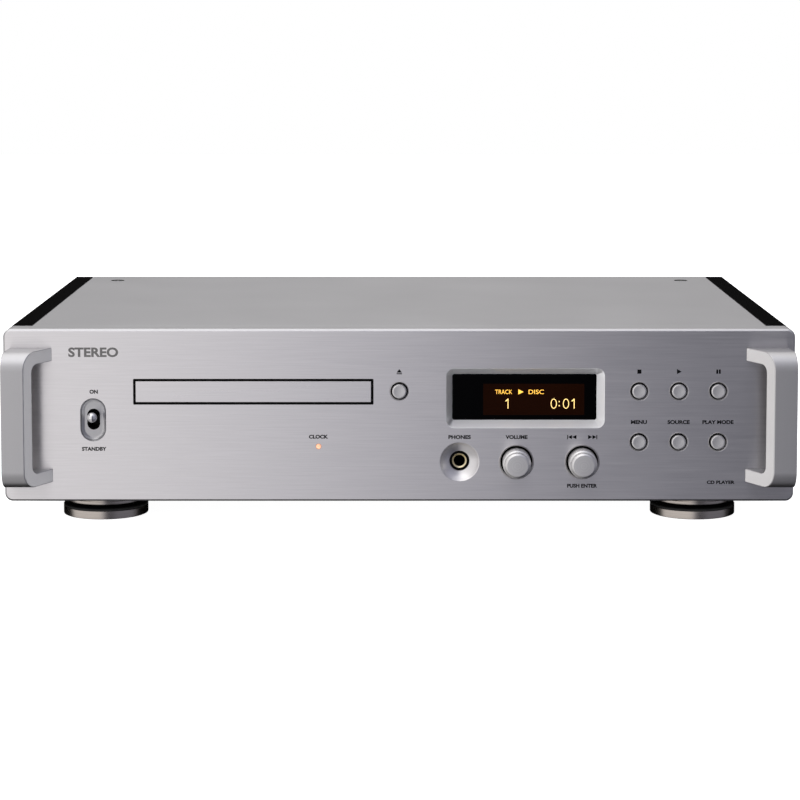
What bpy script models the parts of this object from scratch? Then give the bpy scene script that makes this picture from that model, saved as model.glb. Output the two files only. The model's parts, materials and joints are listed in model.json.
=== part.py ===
"""CD player: a full-size hi-fi component with a front-loading disc tray, two rack handles and four feet.

Lengths are in metres. +X is right, +Z is up and the front faces -Y. The origin is under the middle of
the object, on the surface that it stands on.
"""
import math

import bmesh
import bpy
from mathutils import Vector

# ---- Overall size ----
WIDTH = 0.444
HEIGHT = 0.111
DEPTH = 0.3338
GAP = 0.0003                       # left between pieces that touch
REACH = 0.001                      # how far a cutter runs past the face that it opens

# ---- Front panel ----
PANEL_THICK = 0.015
PANEL_BOTTOM = 0.0134
PANEL_CORNER = 0.0045
PANEL_CHAMFER = 0.0011
HANDLE_REACH = 0.026
PANEL_FRONT = HANDLE_REACH - DEPTH / 2
PANEL_BACK = PANEL_FRONT + PANEL_THICK

# ---- Case ----
CONNECTOR_REACH = 0.013
REAR_EDGE = DEPTH / 2 - CONNECTOR_REACH
CASE_FRONT = PANEL_BACK + GAP
SIDE_OUTER = 0.2194
SIDE_INNER = 0.2081
CASE_EDGE = 0.0008
LID_HALF = SIDE_INNER - GAP
LID_THICK = 0.003
PLATE_THICK = 0.002
PLATE_TOP = PANEL_BOTTOM + GAP + PLATE_THICK
INNER_FLOOR = PLATE_TOP + GAP
INNER_ROOF = HEIGHT - LID_THICK - GAP
REAR_FLANGE = 0.032                # depth of the flange along the rear panel's top
SCREW_X = 0.1885
SCREW_Y = REAR_EDGE - 0.0255
SCREW_HEAD = 0.00385
SCREW_SHANK = 0.0015

# ---- Handles: plan is a trapezoid, side view a C ----
HANDLE_LOW = 0.0245
HANDLE_HIGH = 0.1004
HANDLE_LEG = 0.0074
HANDLE_BAR = 0.0075
HANDLE_OUTER_RADIUS = 0.0100
HANDLE_INNER_RADIUS = 0.0045
HANDLE_INNER_X = (0.1948, 0.2069)  # at the panel, at the front
HANDLE_OUTER_X = (0.2182, 0.2196)
HANDLE_EDGE = 0.0005

# ---- Feet ----
FOOT_X = 0.1696
FOOT_FRONT_Y = -0.1026
FOOT_REAR_Y = 0.1150
FOOT_BASE_RADIUS = 0.0243
FOOT_BASE_TOP = 0.0062
FOOT_CAP_RADIUS = 0.0234
FOOT_CAP_BOTTOM = 0.0081
FOOT_DISH_RADIUS = 0.0140
FOOT_DISH_FLOOR = 0.0025
FOOT_SPIKE_RADIUS = 0.0090
FOOT_EDGE = 0.0005

# ---- Disc tray and its slot ----
TRAY_X = -0.0818
TRAY_Z = 0.0756
SLOT_WIDTH = 0.1347
SLOT_HEIGHT = 0.0143
FASCIA_WIDTH = 0.1323
FASCIA_HEIGHT = 0.0120
FASCIA_THICK = 0.005
TRAY_HALF = 0.0655
TRAY_LOW = 0.0699
TRAY_TOP = 0.0814
TRAY_FLOOR_LOW = 0.0726
TRAY_FLOOR = 0.0766
TRAY_SMALL_FLOOR = 0.0754
TRAY_FRONT = PANEL_FRONT + FASCIA_THICK + GAP
TRAY_REAR = 0.050
TRAY_RUNNER = 0.004
TRAY_FRONT_WALL = 0.007
DISC_Y = -0.062
WELL_RADIUS = 0.06075
SMALL_WELL_RADIUS = 0.0405
HUB_SLOT_HALF = 0.0205

# ---- Tray drive: a rack under the tray and a pinion ----
TOOTH_MODULE = 0.00125
PINION_TEETH = 16
PINION_RADIUS = TOOTH_MODULE * PINION_TEETH / 2
TOOTH_THINNING = 0.00015
TOOTH_HEAD = 0.9 * TOOTH_MODULE
TOOTH_FOOT = 1.25 * TOOTH_MODULE
PRESSURE_ANGLE = math.radians(20)
RACK_LINE_X = TRAY_X + 0.036
RACK_BACK_X = TRAY_X + 0.031
RACK_REAR = TRAY_REAR - 0.003
PINION_X = RACK_LINE_X + PINION_RADIUS
PINION_Y = -0.100
PINION_SHAFT = 0.002

# ---- Loader frame and clamp ----
FRAME_HALF = 0.0703
FRAME_WALL_IN = 0.0663
FRAME_LEDGE_IN = 0.060
FRAME_LEDGE_TOP = TRAY_LOW - GAP
FRAME_DECK = (0.038, 0.041)
FRAME_TOP = 0.092
FRAME_REAR = 0.062
BRIDGE_FRONT = DISC_Y - 0.030
BRIDGE_REAR = DISC_Y + 0.030
BRIDGE_THICK = 0.005
TURNTABLE_RADIUS = 0.059
TURNTABLE_LOW = 0.0822
SPINDLE_RADIUS = 0.003
MOTOR_RADIUS = 0.017
MOTOR_TOP = 0.1068

# ---- Traverse: it rises to lift the disc onto the turntable ----
TRAVERSE_HALF = 0.033
TRAVERSE_FRONT = -0.096
TRAVERSE_REAR = 0.014
TRAVERSE_Z = (0.052, 0.056)
POST_X = 0.029
POST_YS = (-0.090, 0.008)
POST_RADIUS = 0.002
POST_TOP = 0.068
HUB_RADIUS = 0.012
HUB_TOP = 0.0764
ROD_X = TRAY_X + 0.016
ROD_Z = 0.061
ROD_RADIUS = 0.0015
RAIL_X = TRAY_X - 0.016
ROD_FRONT = -0.056
ROD_REAR = 0.010
SLED_Y = DISC_Y + 0.025
SLED_HALF_X = 0.0195
SLED_HALF_Y = 0.009
SLED_Z = (0.0575, 0.0655)
LENS_TOP = 0.0708
LENS_RADIUS = 0.004

# ---- Buttons ----
BUTTON_RADIUS = 0.0040
BUTTON_HOLE = 0.00475
BUTTON_CHAMFER = 0.0007
BUTTON_PROUD = 0.0016
BUTTON_FLANGE = 0.0060
BUTTON_STEM = 0.0015
BUTTON_LENGTH = 0.021
BUTTONS = {
    "eject_button": (0.0001, 0.0759),
    "stop_button": (0.1347, 0.0759),
    "play_button": (0.1570, 0.0759),
    "pause_button": (0.1791, 0.0759),
    "menu_button": (0.1347, 0.0471),
    "source_button": (0.1570, 0.0471),
    "play_mode_button": (0.1791, 0.0471),
}

# ---- Knobs ----
KNOB_Z = 0.0357
VOLUME_X = 0.0660
JOG_X = 0.1030
KNOB_RADIUS = 0.0079
KNOB_NOSE_RADIUS = 0.0069
KNOB_FACE_RADIUS = 0.0060
KNOB_LENGTH = 0.0134
KNOB_SHOULDER = 0.0080
KNOB_SUNK = 0.0025
KNOB_BORE = 0.0032
KNOB_WELL_RADIUS = 0.0089
KNOB_WELL_CHAMFER = 0.0010
KNOB_WELL_DEPTH = 0.004
SHAFT_RADIUS = 0.0029
SHAFT_HOLE = 0.0036
SHAFT_LENGTH = 0.018

# ---- Headphone socket: a spherical dish with the socket in its middle ----
PHONES_X = 0.0340
PHONES_Z = 0.0358
DISH_RADIUS = 0.0110
DISH_SPHERE = 0.01443
JACK_RADIUS = 0.0055
JACK_BORE = 0.00325
JACK_RING = 0.00415
JACK_RING_THICK = 0.001
JACK_LENGTH = 0.033

# ---- Display ----
DISPLAY_CENTRE = (0.0709, 0.0719)
DISPLAY_SIZE = (0.0888, 0.0336)
DISPLAY_CORNER = 0.0045
WINDOW_CENTRE = (0.0706, 0.0718)
WINDOW_SIZE = (0.0813, 0.0261)
WINDOW_CORNER = 0.0012
WINDOW_DEPTH = 0.0060
WINDOW_THICK = 0.002
WINDOW_LIP = 0.0016

# ---- Power switch ----
SWITCH_X = -0.1718
SWITCH_Z = 0.0597
SWITCH_DISH = (0.0142, 0.0241)
SWITCH_SLOT = (0.0072, 0.0119)
SWITCH_DISH_DEPTH = 0.0024
SWITCH_PIVOT_Y = PANEL_FRONT + 0.0115
SWITCH_PIVOT_Z = SWITCH_Z + 0.0015
SWITCH_TILT = math.radians(2)
LEVER_REACH = 0.017
LEVER_BALL = 0.0028
LEVER_ROOT = 0.0021
PIVOT_RADIUS = 0.0008
PIVOT_HOLE = 0.0011
PIVOT_HOLE_HALF = 0.006
PIVOT_PIN_HALF = 0.0055
SWITCH_CAVITY = 0.006

# ---- Clock lamp ----
LAMP_X = -0.0453
LAMP_Z = 0.0446
LAMP_RADIUS = 0.0013
LAMP_LENGTH = 0.017

# ---- Boards and transformer ----
BOARD_FRONT = -0.1165
BOARD_THICK = 0.0016
BOARD_X = (-0.009, 0.200)
BOARD_Z = (0.026, 0.100)
ENCODER_SIZE = 0.012
ENCODER_THICK = 0.0050
TACT_SIZE = 0.006
TACT_THICK = 0.0021
MAIN_BOARD_X = (0.002, 0.198)
MAIN_BOARD_Y = (-0.060, 0.125)
MAIN_BOARD_Z = 0.030
COIL_X = -0.110
COIL_Y = 0.105
COIL_OUTER = 0.038
COIL_INNER = 0.012
COIL_TOP = 0.0566

# ---- Rear connectors: x and z of each centre ----
INLET_AT = (-0.170, 0.050)
XLR_AT = {"xlr_right": (0.125, 0.062), "xlr_left": (0.168, 0.062)}
PHONO_AT = {"phono_right": (0.072, 0.062), "phono_left": (0.094, 0.062), "coaxial_output": (0.034, 0.050)}
OPTICAL_AT = (0.010, 0.050)
DATA_AT = (-0.018, 0.050)
CLOCK_AT = (-0.048, 0.050)

FACING = {"up": (0.0, 0.0, 0.0), "front": (math.pi / 2, 0.0, 0.0), "back": (-math.pi / 2, 0.0, 0.0)}

# finish: colour, roughness, metallic
FINISHES = {
    "brushed silver": ((0.62, 0.61, 0.61), 0.34, 1.0),
    "satin silver": ((0.60, 0.60, 0.61), 0.40, 1.0),
    "bright silver": ((0.74, 0.74, 0.75), 0.22, 1.0),
    "satin black": ((0.012, 0.012, 0.013), 0.38, 0.0),
    "dark nickel": ((0.22, 0.20, 0.18), 0.26, 1.0),
    "chrome": ((0.82, 0.82, 0.83), 0.08, 1.0),
    "gold": ((0.80, 0.58, 0.26), 0.22, 1.0),
    "black plastic": ((0.015, 0.015, 0.016), 0.45, 0.0),
    "dark glass": ((0.010, 0.008, 0.008), 0.06, 0.0),
    "amber lamp": ((0.95, 0.55, 0.25), 0.30, 0.0),
    "steel": ((0.50, 0.51, 0.52), 0.35, 1.0),
    "white plastic": ((0.70, 0.70, 0.68), 0.45, 0.0),
    "circuit green": ((0.03, 0.13, 0.07), 0.50, 0.0),
    "copper": ((0.60, 0.28, 0.14), 0.35, 1.0),
}


# ---- Helpers ----

def clear_scene():
    for old in list(bpy.data.objects):
        bpy.data.objects.remove(old)


def make_collection(name):
    collection = bpy.data.collections.new(name)
    bpy.context.scene.collection.children.link(collection)
    return collection


clear_scene()
PARTS = make_collection("cd_player")
CUTTERS = make_collection("cutters")


def add_object(name, mesh, finish):
    """Puts a mesh in the scene: a sub-part with its own material, or a cutter where finish is None."""
    obj = bpy.data.objects.new(name, mesh)
    if finish is None:
        CUTTERS.objects.link(obj)
        obj.hide_render = True
        obj.display_type = "WIRE"
        return obj
    PARTS.objects.link(obj)
    colour, roughness, metallic = FINISHES[finish]
    material = bpy.data.materials.new(f"{name} {finish}")
    material.use_nodes = True
    shader = material.node_tree.nodes["Principled BSDF"]
    shader.inputs["Base Color"].default_value = (*colour, 1.0)
    shader.inputs["Roughness"].default_value = roughness
    shader.inputs["Metallic"].default_value = metallic
    mesh.materials.append(material)
    return obj


def add_bmesh(name, bm, finish):
    mesh = bpy.data.meshes.new(name)
    bm.to_mesh(mesh)
    bm.free()
    return add_object(name, mesh, finish)


def block(name, low, high, finish=None, edge=0.0, segments=1):
    """A box between two corners, its edges bevelled by edge."""
    low, high = Vector(low), Vector(high)
    bm = bmesh.new()
    bmesh.ops.create_cube(bm, size=1.0)
    bmesh.ops.scale(bm, vec=high - low, verts=bm.verts)
    obj = add_bmesh(name, bm, finish)
    obj.location = (low + high) / 2
    if edge:
        bevel = obj.modifiers.new("edges", "BEVEL")
        bevel.width = edge
        bevel.segments = segments
    return obj


def rod(name, start, end, radius, finish=None, sides=16):
    """A cylinder from start to end."""
    start, end = Vector(start), Vector(end)
    along = end - start
    bm = bmesh.new()
    bmesh.ops.create_cone(bm, cap_ends=True, segments=sides, radius1=radius, radius2=radius,
                          depth=along.length)
    obj = add_bmesh(name, bm, finish)
    obj.location = (start + end) / 2
    obj.rotation_mode = "QUATERNION"
    obj.rotation_quaternion = along.to_track_quat("Z", "Y")
    obj.data.shade_smooth()
    obj.data.set_sharp_from_angle(angle=math.radians(35))
    return obj


def turned(name, profile, at, facing, finish=None, sides=24):
    """A turned solid. The profile's (radius, height) points run down the outer side.

    A profile that starts off the axis is closed into a ring.
    """
    bm = bmesh.new()
    corners = [bm.verts.new((radius, 0.0, height)) for radius, height in profile]
    for upper, lower in zip(corners, corners[1:]):
        bm.edges.new((upper, lower))
    if profile[0][0] > 0.0:
        bm.edges.new((corners[-1], corners[0]))
    obj = add_bmesh(name, bm, finish)
    obj.location = at
    obj.rotation_euler = FACING[facing]
    screw = obj.modifiers.new("turn", "SCREW")
    screw.steps = screw.render_steps = sides
    screw.use_merge_vertices = True
    screw.merge_threshold = 0.00001
    screw.use_smooth_shade = True
    return obj


def slab(name, outline, thickness, finish=None):
    """A flat outline given thickness along Z, centred on its own XY plane."""
    curve = bpy.data.curves.new(name, "CURVE")
    curve.dimensions = "2D"
    curve.fill_mode = "BOTH"
    curve.extrude = thickness / 2
    spline = curve.splines.new("POLY")
    spline.points.add(len(outline) - 1)
    for point, (u, v) in zip(spline.points, outline):
        point.co = (u, v, 0.0, 1.0)
    spline.use_cyclic_u = True
    guide = bpy.data.objects.new(name + "_outline", curve)
    CUTTERS.objects.link(guide)
    evaluated = guide.evaluated_get(bpy.context.evaluated_depsgraph_get())
    mesh = bpy.data.meshes.new_from_object(evaluated)
    bpy.data.objects.remove(guide)
    bpy.data.curves.remove(curve)
    bm = bmesh.new()
    bm.from_mesh(mesh)
    bpy.data.meshes.remove(mesh)
    bmesh.ops.remove_doubles(bm, verts=bm.verts, dist=0.000001)
    bmesh.ops.dissolve_limit(bm, angle_limit=math.radians(1), verts=bm.verts, edges=bm.edges)
    bmesh.ops.recalc_face_normals(bm, faces=bm.faces)
    return add_bmesh(name, bm, finish)


def loft(name, rings, finish=None):
    """A solid through rings that have the same number of points, closed at both ends."""
    bm = bmesh.new()
    loops = [[bm.verts.new(point) for point in ring] for ring in rings]
    for near, far in zip(loops, loops[1:]):
        for i, corner in enumerate(near):
            j = (i + 1) % len(near)
            bm.faces.new((corner, near[j], far[j], far[i]))
    bm.faces.new(loops[0])
    bm.faces.new(loops[-1])
    bmesh.ops.recalc_face_normals(bm, faces=bm.faces)
    return add_bmesh(name, bm, finish)


def combine(obj, others, operation):
    for other in others:
        boolean = obj.modifiers.new(other.name, "BOOLEAN")
        boolean.operation = operation
        boolean.object = other


def cut(obj, *cutters):
    combine(obj, cutters, "DIFFERENCE")


def join(obj, *pieces):
    combine(obj, pieces, "UNION")


def arc(centre, radius, start, end, steps):
    """Points on an arc between two angles in degrees."""
    points = []
    for step in range(steps + 1):
        angle = math.radians(start + (end - start) * step / steps)
        points.append((centre[0] + radius * math.cos(angle), centre[1] + radius * math.sin(angle)))
    return points


def rounded_rectangle(centre, size, radius, steps=4):
    """Outline of a rectangle with round corners, counter-clockwise."""
    half_u, half_v = size[0] / 2 - radius, size[1] / 2 - radius
    corners = ((half_u, half_v, 0), (-half_u, half_v, 90), (-half_u, -half_v, 180), (half_u, -half_v, 270))
    points = []
    for u, v, start in corners:
        points += arc((centre[0] + u, centre[1] + v), radius, start, start + 90, steps)
    return points


def on_front(outline, y):
    """An outline in X and Z, at one depth."""
    return [(u, y, v) for u, v in outline]


# ---- Front panel ----

def panel_hole(name, x, z, radius, chamfer, depth):
    """A round cutter for the front panel, chamfered at the panel's face."""
    profile = [(0.0, REACH), (radius + chamfer + REACH, REACH), (radius, -chamfer), (radius, -depth),
               (0.0, -depth)]
    return turned(name, profile, (x, PANEL_FRONT, z), "front", sides=20)


def phones_dish():
    """Cutter for the headphone socket's dish, with the socket's hole in its middle."""
    rim = math.sqrt(DISH_SPHERE ** 2 - DISH_RADIUS ** 2)
    hole = JACK_RADIUS + GAP
    profile = [(0.0, REACH), (DISH_RADIUS, REACH)]
    steps = 5
    for step in range(steps + 1):
        radius = DISH_RADIUS + (hole - DISH_RADIUS) * step / steps
        profile.append((radius, rim - math.sqrt(DISH_SPHERE ** 2 - radius ** 2)))
    profile += [(hole, -PANEL_THICK - REACH), (0.0, -PANEL_THICK - REACH)]
    return turned("phones_dish_cutter", profile, (PHONES_X, PANEL_FRONT, PHONES_Z), "front")


def display_recess():
    """Cutter whose four walls slope in from the panel's face to the window."""
    outer = rounded_rectangle(DISPLAY_CENTRE, DISPLAY_SIZE, DISPLAY_CORNER)
    inner = rounded_rectangle(WINDOW_CENTRE, WINDOW_SIZE, WINDOW_CORNER)
    window_y = PANEL_FRONT + WINDOW_DEPTH
    rings = [on_front(outer, PANEL_FRONT - REACH), on_front(outer, PANEL_FRONT),
             on_front(inner, window_y), on_front(inner, window_y + REACH)]
    return loft("display_recess_cutter", rings)


def switch_dish():
    """Cutter for the power switch's long dish, which curves down to a flat floor."""
    width, height = SWITCH_DISH
    steps = 4
    rings = [on_front(rounded_rectangle((SWITCH_X, SWITCH_Z), SWITCH_DISH, width / 2 - 0.0001, 6),
                      PANEL_FRONT - REACH)]
    for step in range(steps + 1):
        turn = math.radians(90 * step / steps)
        inset = 0.0045 * (1 - math.cos(turn))
        size = (width - inset, height - inset)
        depth = SWITCH_DISH_DEPTH * math.sin(turn)
        outline = rounded_rectangle((SWITCH_X, SWITCH_Z), size, size[0] / 2 - 0.0001, 6)
        rings.append(on_front(outline, PANEL_FRONT + depth))
    return loft("switch_dish_cutter", rings)


def switch_slot(name, y_front, y_back):
    width = SWITCH_SLOT[0]
    outline = rounded_rectangle((SWITCH_X, SWITCH_Z), SWITCH_SLOT, width / 2 - 0.0001, 6)
    return loft(name, [on_front(outline, y_front), on_front(outline, y_back)])


SWITCH_NOSE_Y = PANEL_FRONT + 0.0082
SWITCH_BODY_HALF = (0.0072, 0.0092)


def front_panel():
    size = Vector((WIDTH, PANEL_THICK, HEIGHT - PANEL_BOTTOM))
    bm = bmesh.new()
    bmesh.ops.create_cube(bm, size=1.0)
    bmesh.ops.scale(bm, vec=size, verts=bm.verts)
    corners = [e for e in bm.edges if abs(e.verts[0].co.y - e.verts[1].co.y) > PANEL_THICK / 2]
    bmesh.ops.bevel(bm, geom=corners, offset=PANEL_CORNER, segments=5, profile=0.5, affect="EDGES")
    front = -PANEL_THICK / 2
    rim = [e for e in bm.edges if all(abs(v.co.y - front) < GAP for v in e.verts)]
    bmesh.ops.bevel(bm, geom=rim, offset=PANEL_CHAMFER, segments=1, affect="EDGES")
    panel = add_bmesh("front_panel", bm, "brushed silver")
    panel.location = (0.0, PANEL_FRONT + PANEL_THICK / 2, (HEIGHT + PANEL_BOTTOM) / 2)

    through = PANEL_THICK + REACH
    past_back = PANEL_BACK + REACH
    cut(panel, block("tray_slot_cutter",
                     (TRAY_X - SLOT_WIDTH / 2, PANEL_FRONT - REACH, TRAY_Z - SLOT_HEIGHT / 2),
                     (TRAY_X + SLOT_WIDTH / 2, past_back, TRAY_Z + SLOT_HEIGHT / 2)))
    for name, (x, z) in BUTTONS.items():
        cut(panel, panel_hole(name + "_cutter", x, z, BUTTON_HOLE, BUTTON_CHAMFER, through))
    for name, x in (("volume", VOLUME_X), ("jog", JOG_X)):
        cut(panel, panel_hole(name + "_well_cutter", x, KNOB_Z, KNOB_WELL_RADIUS, KNOB_WELL_CHAMFER,
                              KNOB_WELL_DEPTH))
        cut(panel, rod(name + "_shaft_cutter", (x, PANEL_FRONT + KNOB_WELL_DEPTH - REACH, KNOB_Z),
                       (x, past_back, KNOB_Z), SHAFT_HOLE))
    cut(panel, phones_dish())
    cut(panel, display_recess())
    pocket = [s / 2 + WINDOW_LIP + GAP for s in WINDOW_SIZE]
    cut(panel, block("display_pocket_cutter",
                     (WINDOW_CENTRE[0] - pocket[0], PANEL_FRONT + WINDOW_DEPTH, WINDOW_CENTRE[1] - pocket[1]),
                     (WINDOW_CENTRE[0] + pocket[0], past_back, WINDOW_CENTRE[1] + pocket[1])))
    cut(panel, switch_dish())
    cut(panel, switch_slot("switch_slot_cutter", PANEL_FRONT, SWITCH_NOSE_Y + REACH))
    nose = [half + GAP for half in SWITCH_BODY_HALF]
    cut(panel, block("switch_pocket_cutter",
                     (SWITCH_X - nose[0], SWITCH_NOSE_Y - GAP, SWITCH_Z - nose[1]),
                     (SWITCH_X + nose[0], past_back, SWITCH_Z + nose[1])))
    cut(panel, rod("lamp_cutter", (LAMP_X, PANEL_FRONT - REACH, LAMP_Z), (LAMP_X, past_back, LAMP_Z),
                   LAMP_RADIUS + GAP, sides=16))


# ---- Case ----

def case():
    for side, sign in (("left", -1), ("right", 1)):
        xs = sorted((sign * SIDE_INNER, sign * SIDE_OUTER))
        block(f"side_panel_{side}", (xs[0], CASE_FRONT, PANEL_BOTTOM), (xs[1], REAR_EDGE, HEIGHT),
              "satin black", CASE_EDGE)
    lid = block("top_cover", (-LID_HALF, CASE_FRONT, HEIGHT - LID_THICK), (LID_HALF, REAR_EDGE, HEIGHT),
                "satin silver", CASE_EDGE)
    block("bottom_plate", (-LID_HALF, CASE_FRONT, PANEL_BOTTOM + GAP), (LID_HALF, REAR_EDGE, PLATE_TOP),
          "steel")
    rear = rear_panel()
    for side, sign in (("left", -1), ("right", 1)):
        x = sign * SCREW_X
        head = SCREW_HEAD + GAP
        shank = SCREW_SHANK + GAP
        sink = 0.0016
        hole = [(0.0, REACH), (head, REACH), (head, -sink), (shank, -sink - 0.0008),
                (shank, -LID_THICK - 0.006), (0.0, -LID_THICK - 0.006)]
        cutter = turned(f"screw_{side}_cutter", hole, (x, SCREW_Y, HEIGHT), "up", sides=16)
        cut(lid, cutter)
        cut(rear, cutter)
        socket = 0.0013
        profile = [(0.0, -0.0012), (socket, -0.0012), (socket, -0.0002), (SCREW_HEAD - 0.0004, -0.0002),
                   (SCREW_HEAD, -0.0006), (SCREW_HEAD, -sink + GAP), (SCREW_SHANK, -sink - 0.0004),
                   (SCREW_SHANK, -0.009), (0.0, -0.0095)]
        turned(f"top_screw_{side}", profile, (x, SCREW_Y, HEIGHT), "up", "dark nickel", sides=16)


def rear_panel():
    """The rear panel, bent forward along its top into a flange that takes the cover's screws."""
    back = block("rear_panel", (-LID_HALF, REAR_EDGE - PLATE_THICK, INNER_FLOOR),
                 (LID_HALF, REAR_EDGE, INNER_ROOF), "satin black")
    join(back, block("rear_flange", (-LID_HALF, REAR_EDGE - REAR_FLANGE, INNER_ROOF - PLATE_THICK),
                     (LID_HALF, REAR_EDGE - PLATE_THICK / 2, INNER_ROOF)))
    y_in, y_out = REAR_EDGE - PLATE_THICK - REACH, REAR_EDGE + REACH
    boxes = {"inlet": (INLET_AT, (0.0278, 0.0206)), "optical": (OPTICAL_AT, (0.0106, 0.0106)),
             "data": (DATA_AT, (0.0126, 0.0116))}
    for name, ((x, z), (width, height)) in boxes.items():
        cut(back, block(name + "_cutter", (x - width / 2, y_in, z - height / 2),
                        (x + width / 2, y_out, z + height / 2)))
    rounds = {name: (at, 0.0118) for name, at in XLR_AT.items()}
    rounds.update({name: (at, 0.0043) for name, at in PHONO_AT.items()})
    rounds["clock_input"] = (CLOCK_AT, 0.0047)
    for name, ((x, z), radius) in rounds.items():
        cut(back, rod(name + "_cutter", (x, y_in, z), (x, y_out, z), radius))
    return back


def handle(side, sign):
    """A C-shaped handle, lofted in plan from its wide base on the panel to its narrow front."""
    base = 0.0
    front = HANDLE_REACH - GAP
    inner_front = front - HANDLE_BAR
    low, high, leg = HANDLE_LOW, HANDLE_HIGH, HANDLE_LEG
    big, small = HANDLE_OUTER_RADIUS, HANDLE_INNER_RADIUS
    outline = [(base, low)]
    outline += arc((front - big, low + big), big, -90, 0, 7)
    outline += arc((front - big, high - big), big, 0, 90, 7)
    outline += [(base, high), (base, high - leg)]
    outline += arc((inner_front - small, high - leg - small), small, 90, 0, 4)
    outline += arc((inner_front - small, low + leg + small), small, 0, -90, 4)
    outline.append((base, low + leg))
    obj = slab(f"handle_{side}", outline, 1.0, "satin silver")
    bm = bmesh.new()
    bm.from_mesh(obj.data)
    outer_edges = []
    for edge in bm.edges:
        a, b = edge.verts
        on_base = max(a.co.x, b.co.x) < GAP
        if abs(a.co.z - b.co.z) < 0.5 and not on_base and edge.calc_face_angle(0) > 1.0:
            outer_edges.append(edge)
    for vert in bm.verts:
        outward, height, is_outer = vert.co.x, vert.co.y, vert.co.z > 0
        near, far = HANDLE_OUTER_X if is_outer else HANDLE_INNER_X
        x = near + (far - near) * outward / front
        vert.co = (sign * x, PANEL_FRONT - GAP - outward, height)
    bm.normal_update()
    bmesh.ops.recalc_face_normals(bm, faces=bm.faces)
    bmesh.ops.bevel(bm, geom=outer_edges, offset=HANDLE_EDGE, segments=2, profile=0.5, affect="EDGES")
    bm.to_mesh(obj.data)
    bm.free()
    obj.data.shade_smooth()
    obj.data.set_sharp_from_angle(angle=math.radians(25))


def foot(place, x, y):
    """A base disc with a dish, and a cap under the case whose spike stands in the dish."""
    r, top, e = FOOT_BASE_RADIUS, FOOT_BASE_TOP, FOOT_EDGE
    base = [(0.0, FOOT_DISH_FLOOR), (FOOT_DISH_RADIUS, top), (r - e, top), (r, top - e), (r, e),
            (r - e, 0.0), (0.0, 0.0)]
    turned(f"foot_base_{place}", base, (x, y, 0.0), "up", "dark nickel", sides=28)
    r, top, low = FOOT_CAP_RADIUS, PANEL_BOTTOM, FOOT_CAP_BOTTOM
    cap = [(0.0, top), (r - e, top), (r, top - e), (r, low + e), (r - e, low), (FOOT_SPIKE_RADIUS, low),
           (0.0, FOOT_DISH_FLOOR + GAP)]
    turned(f"foot_cap_{place}", cap, (x, y, 0.0), "up", "dark nickel", sides=28)


# ---- Controls ----

def button(name, x, z):
    r, proud, edge = BUTTON_RADIUS, BUTTON_PROUD, 0.0003
    flange = -PANEL_THICK - GAP
    profile = [(0.0, proud), (r - edge, proud), (r, proud - edge), (r, flange), (BUTTON_FLANGE, flange),
               (BUTTON_FLANGE, flange - 0.001), (BUTTON_STEM, flange - 0.001),
               (BUTTON_STEM, -BUTTON_LENGTH), (0.0, -BUTTON_LENGTH)]
    turned(name, profile, (x, PANEL_FRONT, z), "front", "bright silver", sides=16)


def knob(name, x):
    """A stepped knob that sinks a little into its well, with a blind bore for its shaft."""
    shoulder, length = KNOB_SHOULDER, KNOB_LENGTH
    step = KNOB_RADIUS - KNOB_NOSE_RADIUS
    face = KNOB_NOSE_RADIUS - KNOB_FACE_RADIUS
    profile = [(0.0, length), (KNOB_FACE_RADIUS, length), (KNOB_NOSE_RADIUS, length - face),
               (KNOB_NOSE_RADIUS, shoulder + step / 2), (KNOB_RADIUS, shoulder - step / 2),
               (KNOB_RADIUS, -KNOB_SUNK), (KNOB_BORE, -KNOB_SUNK), (KNOB_BORE, shoulder), (0.0, shoulder)]
    turned(name, profile, (x, PANEL_FRONT, KNOB_Z), "front", "bright silver", sides=24)


def shaft(name, x):
    rod(name, (x, PANEL_FRONT - KNOB_SHOULDER + GAP, KNOB_Z), (x, PANEL_FRONT + SHAFT_LENGTH, KNOB_Z),
        SHAFT_RADIUS, "steel")


def headphone_socket():
    """Socket body with its round nose in the dish, and the metal ring in the nose's face."""
    nose_depth = math.sqrt(DISH_SPHERE ** 2 - JACK_RADIUS ** 2)
    nose = math.sqrt(DISH_SPHERE ** 2 - DISH_RADIUS ** 2) - nose_depth
    seat = nose - JACK_RING_THICK - GAP
    end = -JACK_LENGTH
    at = (PHONES_X, PANEL_FRONT, PHONES_Z)
    profile = [(0.0, end + 0.003), (JACK_BORE, end + 0.003), (JACK_BORE, seat), (JACK_RING + GAP, seat),
               (JACK_RING + GAP, nose), (JACK_RADIUS, nose), (JACK_RADIUS, end), (0.0, end)]
    jack = turned("headphone_jack", profile, at, "front", "black plastic")
    bore = rod("jack_bore_cutter", (PHONES_X, PANEL_FRONT, PHONES_Z),
               (PHONES_X, PANEL_FRONT - end - 0.003, PHONES_Z), JACK_BORE + GAP)
    shell = block("jack_shell", (PHONES_X - 0.008, PANEL_BACK + GAP, PHONES_Z - 0.0075),
                  (PHONES_X + 0.008, PANEL_FRONT - end, PHONES_Z + 0.0075))
    cut(shell, bore)
    join(jack, shell)
    ring = [(JACK_RING, nose), (JACK_RING, nose - JACK_RING_THICK), (JACK_BORE, nose - JACK_RING_THICK),
            (JACK_BORE, nose - 0.0004), (JACK_BORE + 0.0004, nose)]
    turned("headphone_ring", ring, at, "front", "gold", sides=20)


def display():
    x, z = WINDOW_CENTRE
    half_x, half_z = [s / 2 + WINDOW_LIP for s in WINDOW_SIZE]
    front = PANEL_FRONT + WINDOW_DEPTH + GAP
    back = front + WINDOW_THICK
    block("display_window", (x - half_x, front, z - half_z), (x + half_x, back, z + half_z), "dark glass")
    block("display_module", (x - half_x, back + GAP, z - half_z), (x + half_x, BOARD_FRONT - GAP, z + half_z),
          "black plastic")


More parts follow.
